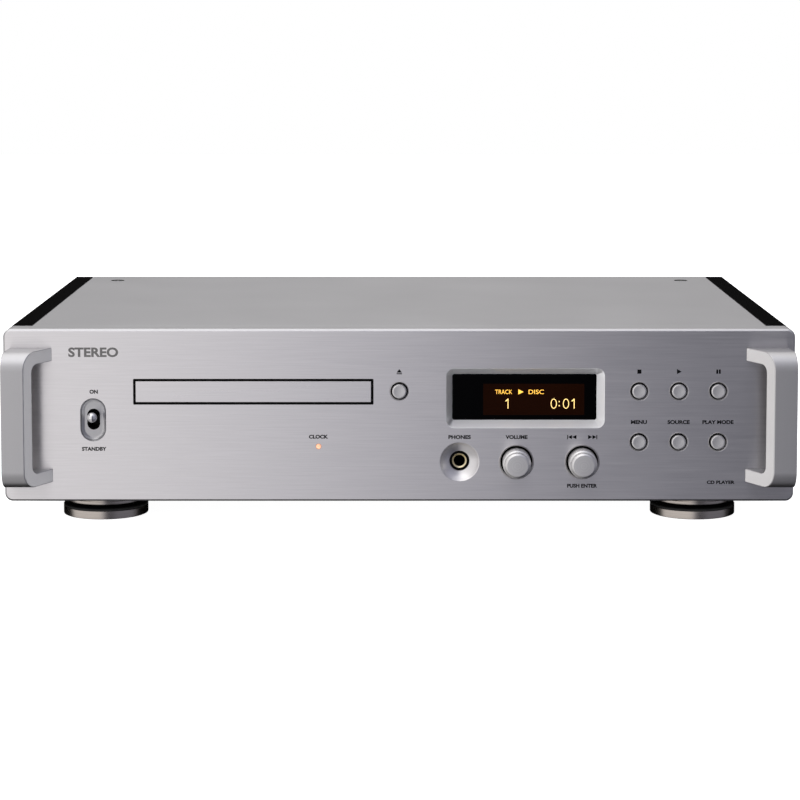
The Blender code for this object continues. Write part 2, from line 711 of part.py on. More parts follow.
def power_switch():
    """The lever rocks on a cross pin inside the switch body, and rests in its upper position."""
    half_x, half_z = SWITCH_BODY_HALF
    body = block("power_switch_body", (SWITCH_X - half_x, SWITCH_NOSE_Y, SWITCH_Z - half_z),
                 (SWITCH_X + half_x, PANEL_BACK + 0.018, SWITCH_Z + half_z), "black plastic")
    cut(body, switch_slot("switch_cavity_cutter", SWITCH_NOSE_Y - REACH, SWITCH_PIVOT_Y + SWITCH_CAVITY))
    cut(body, rod("pivot_cutter", (SWITCH_X - PIVOT_HOLE_HALF, SWITCH_PIVOT_Y, SWITCH_PIVOT_Z),
                  (SWITCH_X + PIVOT_HOLE_HALF, SWITCH_PIVOT_Y, SWITCH_PIVOT_Z), PIVOT_HOLE, sides=16))
    reach, ball, root = LEVER_REACH, LEVER_BALL, LEVER_ROOT
    profile = [(radius, reach + height) for radius, height in arc((0.0, 0.0), ball, 90, -40, 5)]
    profile[0] = (0.0, reach + ball)
    profile += [(root, reach * 0.45), (0.0016, 0.0), (0.0016, -0.0025), (0.0, -0.0025)]
    lever = turned("power_lever", profile, (SWITCH_X, SWITCH_PIVOT_Y, SWITCH_PIVOT_Z), "front", "chrome",
                   sides=16)
    lever.rotation_euler.x -= SWITCH_TILT
    pin = rod("lever_pin", (SWITCH_X - PIVOT_PIN_HALF, SWITCH_PIVOT_Y, SWITCH_PIVOT_Z),
              (SWITCH_X + PIVOT_PIN_HALF, SWITCH_PIVOT_Y, SWITCH_PIVOT_Z), PIVOT_RADIUS, sides=12)
    join(lever, pin)


def clock_lamp():
    r = LAMP_RADIUS
    profile = [(0.0, 0.0004), (r * 0.7, 0.0003), (r, 0.0), (r, -LAMP_LENGTH), (0.0, -LAMP_LENGTH)]
    turned("clock_lamp", profile, (LAMP_X, PANEL_FRONT, LAMP_Z), "front", "amber lamp", sides=16)


def control_board():
    """Board behind the front panel, with a push switch for each button and an encoder for each knob."""
    y = BOARD_FRONT
    board = block("control_board", (BOARD_X[0], y, BOARD_Z[0]), (BOARD_X[1], y + BOARD_THICK, BOARD_Z[1]),
                  "circuit green")
    cut(board, block("jack_notch_cutter", (PHONES_X - 0.0085, y - REACH, PHONES_Z - 0.012),
                     (PHONES_X + 0.0085, y + BOARD_THICK + REACH, PHONES_Z + 0.008)))
    for name, (x, z) in BUTTONS.items():
        half = TACT_SIZE / 2
        join(board, block(name + "_switch", (x - half, y - TACT_THICK, z - half),
                          (x + half, y + GAP, z + half)))
    for name, x in (("volume", VOLUME_X), ("jog", JOG_X)):
        half = ENCODER_SIZE / 2
        join(board, block(name + "_encoder", (x - half, y - ENCODER_THICK, KNOB_Z - half),
                          (x + half, y + GAP, KNOB_Z + half)))


# ---- Disc mechanism ----

def rack_outline():
    """The rack seen from above: straight-sided teeth that point to +X, with a gap facing the pinion."""
    pitch = math.pi * TOOTH_MODULE
    slope = math.tan(PRESSURE_ANGLE)
    tip = pitch / 4 - TOOTH_HEAD * slope - TOOTH_THINNING
    root = pitch / 4 + TOOTH_FOOT * slope - TOOTH_THINNING
    tip_x, root_x = RACK_LINE_X + TOOTH_HEAD, RACK_LINE_X - TOOTH_FOOT
    first = PINION_Y - 1.5 * pitch
    teeth = int((RACK_REAR - first) / pitch)
    points = [(RACK_BACK_X, first - pitch / 2), (root_x, first - pitch / 2)]
    for tooth in range(teeth):
        y = first + tooth * pitch
        points += [(root_x, y - root), (tip_x, y - tip), (tip_x, y + tip), (root_x, y + root)]
    points += [(root_x, RACK_REAR), (RACK_BACK_X, RACK_REAR)]
    return points


def pinion_outline():
    """Involute teeth, one of them centred on -X so that it stands in the rack's gap."""
    base = PINION_RADIUS * math.cos(PRESSURE_ANGLE)
    at_pitch = math.pi / (2 * PINION_TEETH) - TOOTH_THINNING / PINION_RADIUS

    def involute(angle):
        return math.tan(angle) - angle

    def half_angle(radius):
        return at_pitch + involute(PRESSURE_ANGLE) - involute(math.acos(min(1.0, base / radius)))

    radii = (PINION_RADIUS - TOOTH_FOOT, base, PINION_RADIUS, PINION_RADIUS + TOOTH_HEAD)
    flank = [(radius, half_angle(radius)) for radius in radii]
    points = []
    for tooth in range(PINION_TEETH):
        middle = math.pi + 2 * math.pi * tooth / PINION_TEETH
        for radius, half in flank:
            points.append((radius * math.cos(middle - half), radius * math.sin(middle - half)))
        for radius, half in reversed(flank):
            points.append((radius * math.cos(middle + half), radius * math.sin(middle + half)))
    return points


def disc_tray():
    tray = block("disc_tray", (TRAY_X - TRAY_HALF, TRAY_FRONT, TRAY_LOW),
                 (TRAY_X + TRAY_HALF, TRAY_REAR, TRAY_TOP), "black plastic")
    inner = TRAY_HALF - TRAY_RUNNER
    cut(tray, block("tray_underside_cutter", (TRAY_X - inner, TRAY_FRONT + TRAY_FRONT_WALL, TRAY_LOW - REACH),
                    (TRAY_X + inner, TRAY_REAR + REACH, TRAY_FLOOR_LOW)))
    over = TRAY_TOP + REACH
    cut(tray, rod("well_cutter", (TRAY_X, DISC_Y, TRAY_FLOOR), (TRAY_X, DISC_Y, over), WELL_RADIUS, sides=48))
    cut(tray, rod("small_well_cutter", (TRAY_X, DISC_Y, TRAY_SMALL_FLOOR), (TRAY_X, DISC_Y, over),
                  SMALL_WELL_RADIUS, sides=32))
    half = HUB_SLOT_HALF
    slot = [(TRAY_X + half, TRAY_REAR + REACH), (TRAY_X - half, TRAY_REAR + REACH)]
    slot += arc((TRAY_X, DISC_Y), half, 180, 360, 10)
    cutter = slab("hub_slot_cutter", slot, 0.030)
    cutter.location.z = TRAY_Z
    cut(tray, cutter)
    overlap = 0.0006
    rack = slab("tray_rack", rack_outline(), TRAY_FLOOR_LOW + overlap - TRAY_LOW)
    rack.location.z = (TRAY_FLOOR_LOW + overlap + TRAY_LOW) / 2
    join(tray, rack)
    block("tray_fascia", (TRAY_X - FASCIA_WIDTH / 2, PANEL_FRONT, TRAY_Z - FASCIA_HEIGHT / 2),
          (TRAY_X + FASCIA_WIDTH / 2, PANEL_FRONT + FASCIA_THICK, TRAY_Z + FASCIA_HEIGHT / 2),
          "brushed silver", 0.0003)


def loading_drive():
    gear_low, gear_top = TRAY_LOW, TRAY_FLOOR_LOW - GAP
    pinion = slab("loading_pinion", pinion_outline(), gear_top - gear_low, "white plastic")
    pinion.location = (PINION_X, PINION_Y, (gear_low + gear_top) / 2)
    join(pinion, rod("pinion_shaft", (PINION_X, PINION_Y, 0.058), (PINION_X, PINION_Y, gear_low + 0.001),
                     PINION_SHAFT, sides=16))
    bore, radius, top = PINION_SHAFT + GAP, 0.012, 0.0625
    low = FRAME_DECK[1] + GAP
    profile = [(0.0, 0.0575), (bore, 0.0575), (bore, top), (radius - 0.0005, top), (radius, top - 0.0005),
               (radius, low), (0.0, low)]
    turned("loading_motor", profile, (PINION_X, PINION_Y, 0.0), "up", "steel", sides=20)


def loader_frame():
    """Two walls joined by a deck, with ledges that the tray runs on and posts that guide the traverse."""
    front = CASE_FRONT
    frame = block("loader_frame", (TRAY_X - FRAME_HALF, front, INNER_FLOOR),
                  (TRAY_X + FRAME_HALF, FRAME_REAR, FRAME_TOP), "steel")
    channels = (("tray_channel", FRAME_WALL_IN, FRAME_LEDGE_TOP, FRAME_TOP + REACH),
                ("middle_channel", FRAME_LEDGE_IN, FRAME_DECK[1], FRAME_LEDGE_TOP + REACH),
                ("lower_channel", FRAME_WALL_IN, INNER_FLOOR - REACH, FRAME_DECK[0]))
    for name, half, low, high in channels:
        cut(frame, block(name + "_cutter", (TRAY_X - half, front - REACH, low),
                         (TRAY_X + half, FRAME_REAR + REACH, high)))
    for i, x in enumerate((TRAY_X - POST_X, TRAY_X + POST_X)):
        for j, y in enumerate(POST_YS):
            join(frame, rod(f"post_{i}{j}", (x, y, FRAME_DECK[1] - REACH), (x, y, POST_TOP), POST_RADIUS,
                            sides=16))


def clamp():
    """The turntable hangs from a bridge across the frame and is turned by the motor on top of it."""
    bridge_low = FRAME_TOP + GAP
    bridge_top = bridge_low + BRIDGE_THICK
    bridge = block("clamp_bridge", (TRAY_X - FRAME_HALF, BRIDGE_FRONT, bridge_low),
                   (TRAY_X + FRAME_HALF, BRIDGE_REAR, bridge_top), "satin silver", 0.0008)
    bore = SPINDLE_RADIUS + GAP
    cut(bridge, rod("spindle_cutter", (TRAY_X, DISC_Y, bridge_low - REACH),
                    (TRAY_X, DISC_Y, bridge_top + REACH),
                    bore))
    r, low = TURNTABLE_RADIUS, TURNTABLE_LOW
    boss = bridge_low - 2 * GAP
    profile = [(0.0, MOTOR_TOP - 0.0015), (SPINDLE_RADIUS, MOTOR_TOP - 0.0015), (SPINDLE_RADIUS, boss),
               (0.008, boss), (0.008, low + 0.0073), (r - 0.004, low + 0.0062), (r, low + 0.005),
               (r, low + 0.0005), (r - 0.0005, low), (0.009, low), (0.009, low + 0.004),
               (0.0, low + 0.004)]
    turned("turntable", profile, (TRAY_X, DISC_Y, 0.0), "up", "satin silver", sides=36)
    motor_low = bridge_top + GAP
    profile = [(0.0, MOTOR_TOP), (MOTOR_RADIUS - 0.001, MOTOR_TOP), (MOTOR_RADIUS, MOTOR_TOP - 0.001),
               (MOTOR_RADIUS, motor_low), (bore, motor_low), (bore, MOTOR_TOP - 0.001),
               (0.0, MOTOR_TOP - 0.001)]
    turned("spindle_motor", profile, (TRAY_X, DISC_Y, 0.0), "up", "steel")


def traverse():
    """Base plate that rises on the frame's posts. It carries the disc hub and the pickup's rod and rail."""
    low, top = TRAVERSE_Z
    base = block("traverse_base", (TRAY_X - TRAVERSE_HALF, TRAVERSE_FRONT, low),
                 (TRAY_X + TRAVERSE_HALF, TRAVERSE_REAR, top), "black plastic", 0.0006)
    for i, x in enumerate((TRAY_X - POST_X, TRAY_X + POST_X)):
        for j, y in enumerate(POST_YS):
            cut(base, rod(f"post_hole_{i}{j}", (x, y, low - REACH), (x, y, top + REACH), POST_RADIUS + 0.0004,
                          sides=16))
    rod_hole = rod("rod_hole_cutter", (ROD_X, ROD_FRONT - 0.001, ROD_Z), (ROD_X, ROD_REAR + 0.001, ROD_Z),
                   ROD_RADIUS + GAP, sides=16)
    for name, y in (("front", ROD_FRONT), ("rear", ROD_REAR)):
        join(base, block(f"rod_holder_{name}", (ROD_X - 0.003, y - 0.002, top - REACH),
                         (ROD_X + 0.003, y + 0.002, ROD_Z + 0.003)))
    join(base, block("pickup_rail", (RAIL_X - 0.0012, ROD_FRONT + 0.004, top - REACH),
                     (RAIL_X + 0.0012, ROD_REAR + 0.001, SLED_Z[0] + 0.003)))
    cut(base, rod_hole)
    rod("guide_rod", (ROD_X, ROD_FRONT - 0.001 + GAP, ROD_Z), (ROD_X, ROD_REAR + 0.001 - GAP, ROD_Z),
        ROD_RADIUS, "steel", sides=16)
    cut(base, rod("hub_stem_cutter", (TRAY_X, DISC_Y, low - REACH), (TRAY_X, DISC_Y, top + REACH), 0.0043))

    r, tip = HUB_RADIUS, HUB_TOP
    profile = [(0.0, tip), (0.005, tip), (0.0073, tip - 0.002), (0.0073, tip - 0.0036), (r, tip - 0.0036),
               (r, tip - 0.0066), (0.0055, tip - 0.0076), (0.0055, top + GAP), (0.004, top + GAP),
               (0.004, low - 0.001), (0.0, low - 0.001)]
    turned("disc_hub", profile, (TRAY_X, DISC_Y, 0.0), "up", "chrome", sides=20)

    sled = block("pickup_sled", (TRAY_X - SLED_HALF_X, SLED_Y - SLED_HALF_Y, SLED_Z[0]),
                 (TRAY_X + SLED_HALF_X, SLED_Y + SLED_HALF_Y, SLED_Z[1]), "black plastic", 0.0005)
    sled_front, sled_rear = SLED_Y - SLED_HALF_Y - REACH, SLED_Y + SLED_HALF_Y + REACH
    cut(sled, rod("sled_bore_cutter", (ROD_X, sled_front, ROD_Z), (ROD_X, sled_rear, ROD_Z),
                  ROD_RADIUS + GAP, sides=16))
    cut(sled, block("sled_groove_cutter", (RAIL_X - 0.0016, sled_front, SLED_Z[0] - REACH),
                    (RAIL_X + 0.0016, sled_rear, SLED_Z[0] + 0.0034)))
    lens = [(0.0, LENS_TOP), (LENS_RADIUS - 0.0012, LENS_TOP), (LENS_RADIUS, LENS_TOP - 0.001),
            (LENS_RADIUS, SLED_Z[1] - REACH), (0.0, SLED_Z[1] - REACH)]
    join(sled, turned("lens", lens, (TRAY_X, SLED_Y, 0.0), "up", sides=12))


# ---- Electronics ----

def transformer():
    outer, inner, low, top, edge = COIL_OUTER, COIL_INNER, INNER_FLOOR, COIL_TOP, 0.005
    profile = [(outer, top - edge), (outer, low + edge), (outer - edge, low), (inner + edge, low),
               (inner, low + edge), (inner, top - edge), (inner + edge, top), (outer - edge, top)]
    turned("power_transformer", profile, (COIL_X, COIL_Y, 0.0), "up", "copper", sides=28)


def main_board():
    """Board on four standoffs, with the supply's capacitors, two shields and three chips."""
    z, top = MAIN_BOARD_Z, MAIN_BOARD_Z + BOARD_THICK
    (x_low, x_high), (y_low, y_high) = MAIN_BOARD_X, MAIN_BOARD_Y
    board = block("main_board", (x_low, y_low, z), (x_high, y_high, top), "circuit green")
    inset = 0.008
    for i, x in enumerate((x_low + inset, x_high - inset)):
        for j, y in enumerate((y_low + inset, y_high - inset)):
            join(board, rod(f"standoff_{i}{j}", (x, y, INNER_FLOOR), (x, y, z + GAP), 0.003, sides=12))
    for i in range(4):
        x = 0.024 + 0.024 * i
        join(board, rod(f"capacitor_{i}", (x, -0.040, top - GAP), (x, -0.040, top + 0.030), 0.0095, sides=12))
    chips = ((0.040, 0.010, 0.014, 0.002), (0.085, 0.015, 0.010, 0.002), (0.150, -0.020, 0.030, 0.012),
             (0.125, 0.060, 0.016, 0.010), (0.170, 0.060, 0.016, 0.010))
    for i, (x, y, half, height) in enumerate(chips):
        join(board, block(f"chip_{i}", (x - half, y - half / 2, top - GAP),
                          (x + half, y + half / 2, top + height)))


# ---- Rear connectors. Each stands on the rear panel's outer face. ----

SEAT_Y = REAR_EDGE + GAP


def mains_inlet():
    x, z = INLET_AT
    face, depth = SEAT_Y + 0.0025, 0.0175
    body = block("mains_inlet", (x - 0.0135, SEAT_Y - 0.0220, z - 0.0100), (x + 0.0135, face, z + 0.0100),
                 "black plastic")
    outline = rounded_rectangle((x, z), (0.0500, 0.0240), 0.004)
    join(body, loft("inlet_flange", [on_front(outline, SEAT_Y), on_front(outline, face)]))
    cut(body, block("inlet_socket_cutter", (x - 0.0120, face - depth, z - 0.0082),
                    (x + 0.0120, face + REACH, z + 0.0082)))
    for name, dx, dz, half_x, half_z in (("live", -0.007, -0.002, 0.001, 0.002),
                                         ("neutral", 0.007, -0.002, 0.001, 0.002),
                                         ("earth", 0.0, 0.003, 0.001, 0.002)):
        join(body, block(f"inlet_{name}_pin", (x + dx - half_x, face - depth - GAP, z + dz - half_z),
                         (x + dx + half_x, face - 0.0065, z + dz + half_z)))


def balanced_output(name, x, z):
    face, depth, shell = SEAT_Y + 0.002, 0.016, 0.0115
    outline = rounded_rectangle((x, z), (0.0260, 0.0310), 0.003)
    body = loft(name, [on_front(outline, SEAT_Y), on_front(outline, face)], "dark nickel")
    join(body, rod(name + "_shell", (x, face - depth - 0.004, z), (x, face - GAP, z), shell, sides=24))
    cut(body, rod(name + "_socket_cutter", (x, face - depth, z), (x, face + REACH, z), 0.0092, sides=24))
    for i, (dx, dz) in enumerate(((-0.0035, 0.0035), (0.0035, 0.0035), (0.0, -0.0045))):
        join(body, rod(f"{name}_pin_{i}", (x + dx, face - depth - GAP, z + dz),
                       (x + dx, face - 0.0060, z + dz),
                       0.0012, sides=8))


def phono_output(name, x, z):
    reach, barrel, flange, hole = CONNECTOR_REACH, 0.00415, 0.0062, 0.0016
    profile = [(0.0, reach - 0.008), (hole, reach - 0.008), (hole, reach), (barrel - 0.0004, reach),
               (barrel, reach - 0.0004), (barrel, 0.002), (flange, 0.0016), (flange, GAP),
               (0.0040, GAP), (0.0040, -0.009), (0.0, -0.009)]
    turned(name, profile, (x, REAR_EDGE, z), "back", "gold", sides=16)


def clock_input():
    x, z = CLOCK_AT
    reach, barrel, flange, hole = CONNECTOR_REACH, 0.0048, 0.0072, 0.0036
    profile = [(0.0, reach - 0.009), (hole, reach - 0.009), (hole, reach), (barrel, reach), (barrel, 0.0025),
               (flange, 0.0025), (flange, GAP), (0.0044, GAP), (0.0044, -0.009), (0.0, -0.009)]
    turned("clock_input", profile, (x, REAR_EDGE, z), "back", "steel", sides=16)


def optical_output():
    x, z = OPTICAL_AT
    face = SEAT_Y + 0.0020
    body = block("optical_output", (x - 0.0050, SEAT_Y - 0.012, z - 0.0050), (x + 0.0050, face, z + 0.0050),
                 "black plastic")
    join(body, block("optical_flange", (x - 0.0065, SEAT_Y, z - 0.0065),
                     (x + 0.0065, face - GAP, z + 0.0065)))
    cut(body, block("optical_shutter_cutter", (x - 0.0032, face - 0.0010, z - 0.0032),
                    (x + 0.0032, face + REACH, z + 0.0032)))


def data_input():
    x, z = DATA_AT
    face, depth = SEAT_Y + 0.0008, 0.0095
    body = block("data_input", (x - 0.0060, SEAT_Y - 0.014, z - 0.0055), (x + 0.0060, face, z + 0.0055),
                 "steel")
    cut(body, block("data_socket_cutter", (x - 0.0042, face - depth, z - 0.0039),
                    (x + 0.0042, face + REACH, z + 0.0039)))
    join(body, block("data_tongue", (x - 0.0028, face - depth - GAP, z - 0.0016),
                     (x + 0.0028, face - 0.0050, z + 0.0016)))


# ---- Build ----

front_panel()
case()
for side_name, side_sign in (("left", -1), ("right", 1)):
    handle(side_name, side_sign)
    foot(f"front_{side_name}", side_sign * FOOT_X, FOOT_FRONT_Y)
    foot(f"rear_{side_name}", side_sign * FOOT_X, FOOT_REAR_Y)
for button_name, (button_x, button_z) in BUTTONS.items():
    button(button_name, button_x, button_z)
for knob_name, knob_x in (("volume", VOLUME_X), ("jog", JOG_X)):
    knob(f"{knob_name}_knob", knob_x)
    shaft(f"{knob_name}_shaft", knob_x)
headphone_socket()
display()
power_switch()
clock_lamp()
control_board()
disc_tray()
loading_drive()
loader_frame()
clamp()
traverse()
transformer()
main_board()
mains_inlet()
for xlr_name, (xlr_x, xlr_z) in XLR_AT.items():
    balanced_output(xlr_name, xlr_x, xlr_z)
for phono_name, (phono_x, phono_z) in PHONO_AT.items():
    phono_output(phono_name, phono_x, phono_z)
clock_input()
optical_output()
data_input()
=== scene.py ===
"""Looks of the CD player: fine meshes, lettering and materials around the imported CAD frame.

Lengths are in millimetres up to the functions that make the meshes and place them, which turn them into
metres, in the frame of the CAD: +X right, +Z up, the front faces -Y.
"""
import json
import math

import bmesh
import bpy
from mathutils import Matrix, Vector

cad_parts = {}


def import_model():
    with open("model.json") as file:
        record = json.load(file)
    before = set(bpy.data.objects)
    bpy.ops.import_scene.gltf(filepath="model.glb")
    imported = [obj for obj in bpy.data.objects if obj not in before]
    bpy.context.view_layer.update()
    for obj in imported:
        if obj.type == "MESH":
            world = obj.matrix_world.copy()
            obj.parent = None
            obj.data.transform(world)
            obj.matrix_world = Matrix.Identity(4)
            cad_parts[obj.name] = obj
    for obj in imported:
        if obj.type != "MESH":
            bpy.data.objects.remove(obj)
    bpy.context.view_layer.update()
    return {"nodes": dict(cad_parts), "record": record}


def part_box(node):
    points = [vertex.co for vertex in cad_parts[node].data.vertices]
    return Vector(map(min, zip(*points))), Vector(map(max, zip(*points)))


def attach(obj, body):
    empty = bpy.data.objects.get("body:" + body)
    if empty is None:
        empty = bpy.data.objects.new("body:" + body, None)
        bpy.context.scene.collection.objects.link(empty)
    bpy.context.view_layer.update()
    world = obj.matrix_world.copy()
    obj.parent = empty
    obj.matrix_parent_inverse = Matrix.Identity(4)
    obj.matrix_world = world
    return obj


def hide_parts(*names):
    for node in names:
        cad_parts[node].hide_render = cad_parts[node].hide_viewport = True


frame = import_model()

MM = 0.001
BODY_OF = {node: body for body, nodes in frame["record"]["behaviour"]["bodies"].items() for node in nodes}
FACING = {"up": (0.0, 0.0, 0.0), "front": (math.pi / 2, 0.0, 0.0), "back": (-math.pi / 2, 0.0, 0.0)}


def span(node):
    """Lowest corner, highest corner and centre of a CAD node at rest, in millimetres."""
    low, high = (Vector(corner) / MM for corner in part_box(node))
    return low, high, (low + high) / 2


def middle(node):
    return span(node)[2]


PANEL_LOW, PANEL_HIGH, _ = span("front_panel")
FACE_Y = PANEL_LOW.y
BACK_Y = PANEL_HIGH.y
REAR_Y = span("rear_panel")[1].y
INK = 0.03                           # thickness of printed lettering


# ---- Materials ----

class Graph:
    """Shader nodes, with the sums and ramps that the materials and the studio's light are made of."""

    def __init__(self, tree):
        self.nodes = tree.nodes
        self.link = tree.links.new

    def feed(self, value, socket):
        """A number or a colour sets the socket, and a node's output is linked to it."""
        if isinstance(value, (int, float, tuple)):
            socket.default_value = value
        else:
            self.link(value, socket)

    def math(self, operation, *values):
        node = self.nodes.new("ShaderNodeMath")
        node.operation = operation
        for value, socket in zip(values, node.inputs):
            self.feed(value, socket)
        return node.outputs[0]

    def remap(self, value, source, target, kind="LINEAR"):
        node = self.nodes.new("ShaderNodeMapRange")
        node.interpolation_type = kind
        sockets = ("Value", "From Min", "From Max", "To Min", "To Max")
        for number, socket in zip((value, *source, *target), sockets):
            self.feed(number, node.inputs[socket])
        return node.outputs["Result"]

    def split(self, vector):
        node = self.nodes.new("ShaderNodeSeparateXYZ")
        self.link(vector, node.inputs[0])
        return node.outputs[0], node.outputs[1], node.outputs[2]


NOISE_RANGE = (0.3, 0.7)              # where nearly all of a noise texture's values lie


class Surface(Graph):
    """A Principled material whose colour, roughness and relief come from procedural textures."""

    def __init__(self, name, colour, roughness, metallic=0.0, **extra):
        self.material = bpy.data.materials.new(name)
        self.material.use_nodes = True
        super().__init__(self.material.node_tree)
        self.shader = self.nodes["Principled BSDF"]
        self.colour = colour
        self.roughness = roughness
        self.set("Base Color", (*colour, 1.0))
        self.set("Roughness", roughness)
        self.set("Metallic", metallic)
        for socket, value in extra.items():
            self.set(socket.replace("_", " "), value)
        self.place = self.nodes.new("ShaderNodeTexCoord").outputs["Object"]
        self.relief = None

    def set(self, socket, value):
        self.shader.inputs[socket].default_value = value

    def stretched(self, scale):
        """Object coordinates, scaled separately along each axis."""
        mapping = self.nodes.new("ShaderNodeMapping")
        mapping.inputs["Scale"].default_value = scale
        self.link(self.place, mapping.inputs["Vector"])
        return mapping.outputs["Vector"]

    def rings(self, scale):
        """Coordinates that are constant round the object's own Z axis: radius and height."""
        x, y, z = self.split(self.place)
        radius = self.math("SQRT", self.math("MULTIPLY_ADD", x, x, self.math("MULTIPLY", y, y)))
        joined = self.nodes.new("ShaderNodeCombineXYZ")
        self.link(self.math("MULTIPLY", radius, scale), joined.inputs["X"])
        self.link(self.math("MULTIPLY", z, scale), joined.inputs["Y"])
        return joined.outputs[0]

    def noise(self, vector, scale=1.0, detail=2.0):
        node = self.nodes.new("ShaderNodeTexNoise")
        node.inputs["Scale"].default_value = scale
        node.inputs["Detail"].default_value = detail
        self.link(vector, node.inputs["Vector"])
        return node.outputs["Fac"]

    def tint(self, value, dark, light):
        """Colour between two multiples of the base colour, as value goes from low to high."""
        ramp = self.nodes.new("ShaderNodeValToRGB")
        for element, position, factor in zip(ramp.color_ramp.elements, NOISE_RANGE, (dark, light)):
            element.position = position
            element.color = (*[min(1.0, c * factor) for c in self.colour], 1.0)
        self.link(value, ramp.inputs["Fac"])
        self.link(ramp.outputs["Color"], self.shader.inputs["Base Color"])
        return ramp.outputs["Color"]

    def rough(self, value, spread):
        levels = (self.roughness - spread, self.roughness + spread)
        self.link(self.remap(value, NOISE_RANGE, levels), self.shader.inputs["Roughness"])

    def bump(self, height, depth):
        """Relief of a real depth in metres. Further calls add finer relief."""
        node = self.nodes.new("ShaderNodeBump")
        node.inputs["Distance"].default_value = depth
        self.link(height, node.inputs["Height"])
        if self.relief is not None:
            self.link(self.relief, node.inputs["Normal"])
        self.relief = node.outputs["Normal"]
        self.link(self.relief, self.shader.inputs["Normal"])


def brushed(name, colour, roughness, anisotropy=0.8):
    """Metal brushed in fine strokes along X."""
    surface = Surface(name, colour, roughness, 1.0, Anisotropic=anisotropy, Anisotropic_Rotation=0.25)
    fine_noise = surface.noise(surface.stretched((45.0, 3000.0, 3000.0)), detail=2.0)
    band_noise = surface.noise(surface.stretched((28.0, 900.0, 900.0)), detail=3.0)
    mixed = surface.math("MULTIPLY", surface.math("ADD", fine_noise, band_noise), 0.5)
    surface.tint(mixed, 0.93, 1.05)
    surface.rough(band_noise, 0.03)
    surface.bump(fine_noise, 0.0000012)
    surface.bump(band_noise, 0.0000015)
    return surface.material


def blasted(name, colour, roughness, metallic=1.0, grain=2200.0, depth=0.000004, spread=0.008, **extra):
    """Fine isotropic grain, as on blasted and anodised metal or powder paint."""
    surface = Surface(name, colour, roughness, metallic, **extra)
    grains = surface.noise(surface.place, grain, 3.0)
    clouds = surface.noise(surface.place, 14.0, 3.0)
    surface.tint(surface.math("MULTIPLY", surface.math("ADD", grains, clouds), 0.5), 0.96, 1.04)
    surface.rough(clouds, spread)
    surface.bump(grains, depth)
    return surface.material


def spun(name, colour, roughness, depth=0.000003):
    """Turned metal: fine rings round the object's own axis."""
    surface = Surface(name, colour, roughness, 1.0)
    rings = surface.noise(surface.rings(2600.0), 1.0, 3.0)
    clouds = surface.noise(surface.place, 90.0, 2.0)
    surface.tint(rings, 0.90, 1.08)
    surface.rough(clouds, 0.03)
    surface.bump(rings, depth)
    return surface.material


def moulded(name, colour, roughness, grain=1500.0, depth=0.000010, specular=0.3):
    """Moulded plastic with a fine spark-eroded grain."""
    surface = Surface(name, colour, roughness, Specular_IOR_Level=specular)
    grains = surface.noise(surface.place, grain, 2.0)
    clouds = surface.noise(surface.place, 25.0, 3.0)
    surface.tint(clouds, 0.85, 1.15)
    surface.rough(clouds, 0.05)
    surface.bump(grains, depth)
    return surface.material


def glowing(name, colour, strength):
    """Lit material whose glow is a little uneven, like a real display's."""
    surface = Surface(name, colour, 0.4, Emission_Strength=strength)
    cells = surface.noise(surface.place, 3000.0, 1.0)
    surface.link(surface.tint(cells, 0.85, 1.15), surface.shader.inputs["Emission Color"])
    return surface.material


def circuit(name):
    surface = Surface(name, (0.02, 0.10, 0.05), 0.42)
    tracks = surface.noise(surface.stretched((900.0, 250.0, 250.0)), detail=1.0)
    surface.tint(tracks, 0.6, 1.6)
    surface.rough(tracks, 0.08)
    surface.bump(tracks, 0.00003)
    return surface.material


PANEL_METAL = brushed("panel_metal", (0.80, 0.785, 0.79), 0.31)
FASCIA_METAL = brushed("fascia_metal", (0.80, 0.785, 0.79), 0.30)
RIM_METAL = blasted("rim_metal", (0.74, 0.73, 0.735), 0.34, depth=0.000001)
DISH_METAL = blasted("dish_metal", (0.56, 0.56, 0.57), 0.36, depth=0.000001)
BEZEL_METAL = blasted("bezel_metal", (0.86, 0.86, 0.87), 0.42, metallic=0.35, depth=0.000001)
SHADED_METAL = blasted("shaded_metal", (0.82, 0.82, 0.83), 0.42, metallic=0.84, depth=0.000001)
# dark grey for the front panel's downward faces: painted shade under its lower edge
UNDERSIDE_PAINTED_SHADE = blasted("underside_painted_shade", (0.30, 0.30, 0.31), 0.40)
COVER_METAL = blasted("cover_metal", (0.66, 0.66, 0.665), 0.50)
HANDLE_METAL = blasted("handle_metal", (0.59, 0.588, 0.594), 0.42)
# lighter, more diffuse copy of the handle metal for the handles' side faces: painted light
HANDLE_SIDE_PAINTED_LIGHT = blasted("handle_side_painted_light", (0.70, 0.695, 0.69), 0.42, metallic=0.5)
# near-black, barely glossy copy of the black paint for every face of the side plates but their sides:
# painted shade on the tops and ends
SIDE_PAINTED_SHADE = blasted("side_painted_shade", (0.002, 0.002, 0.002), 0.20, metallic=0.0, grain=1700.0, depth=0.000001,
                     Specular_IOR_Level=0.06)
REAR_PAINT = blasted("rear_paint", (0.016, 0.016, 0.017), 0.46, metallic=0.0, grain=1700.0, depth=0.00001)
CONTROL_METAL = spun("control_metal", (0.78, 0.775, 0.775), 0.42)
FOOT_METAL = spun("foot_metal", (0.50, 0.46, 0.42), 0.26)
SCREW_METAL = spun("screw_metal", (0.20, 0.20, 0.20), 0.30)
STEEL_METAL = spun("steel_metal", (0.55, 0.56, 0.57), 0.30)
CHROME_METAL = spun("chrome_metal", (0.86, 0.86, 0.87), 0.06, depth=0.0000005)
GOLD_METAL = spun("gold_metal", (1.0, 0.86, 0.58), 0.30)
RUBBER = moulded("foot_rubber", (0.012, 0.012, 0.012), 0.55)
PLASTIC = moulded("black_plastic", (0.008, 0.008, 0.009), 0.42, specular=0.2)
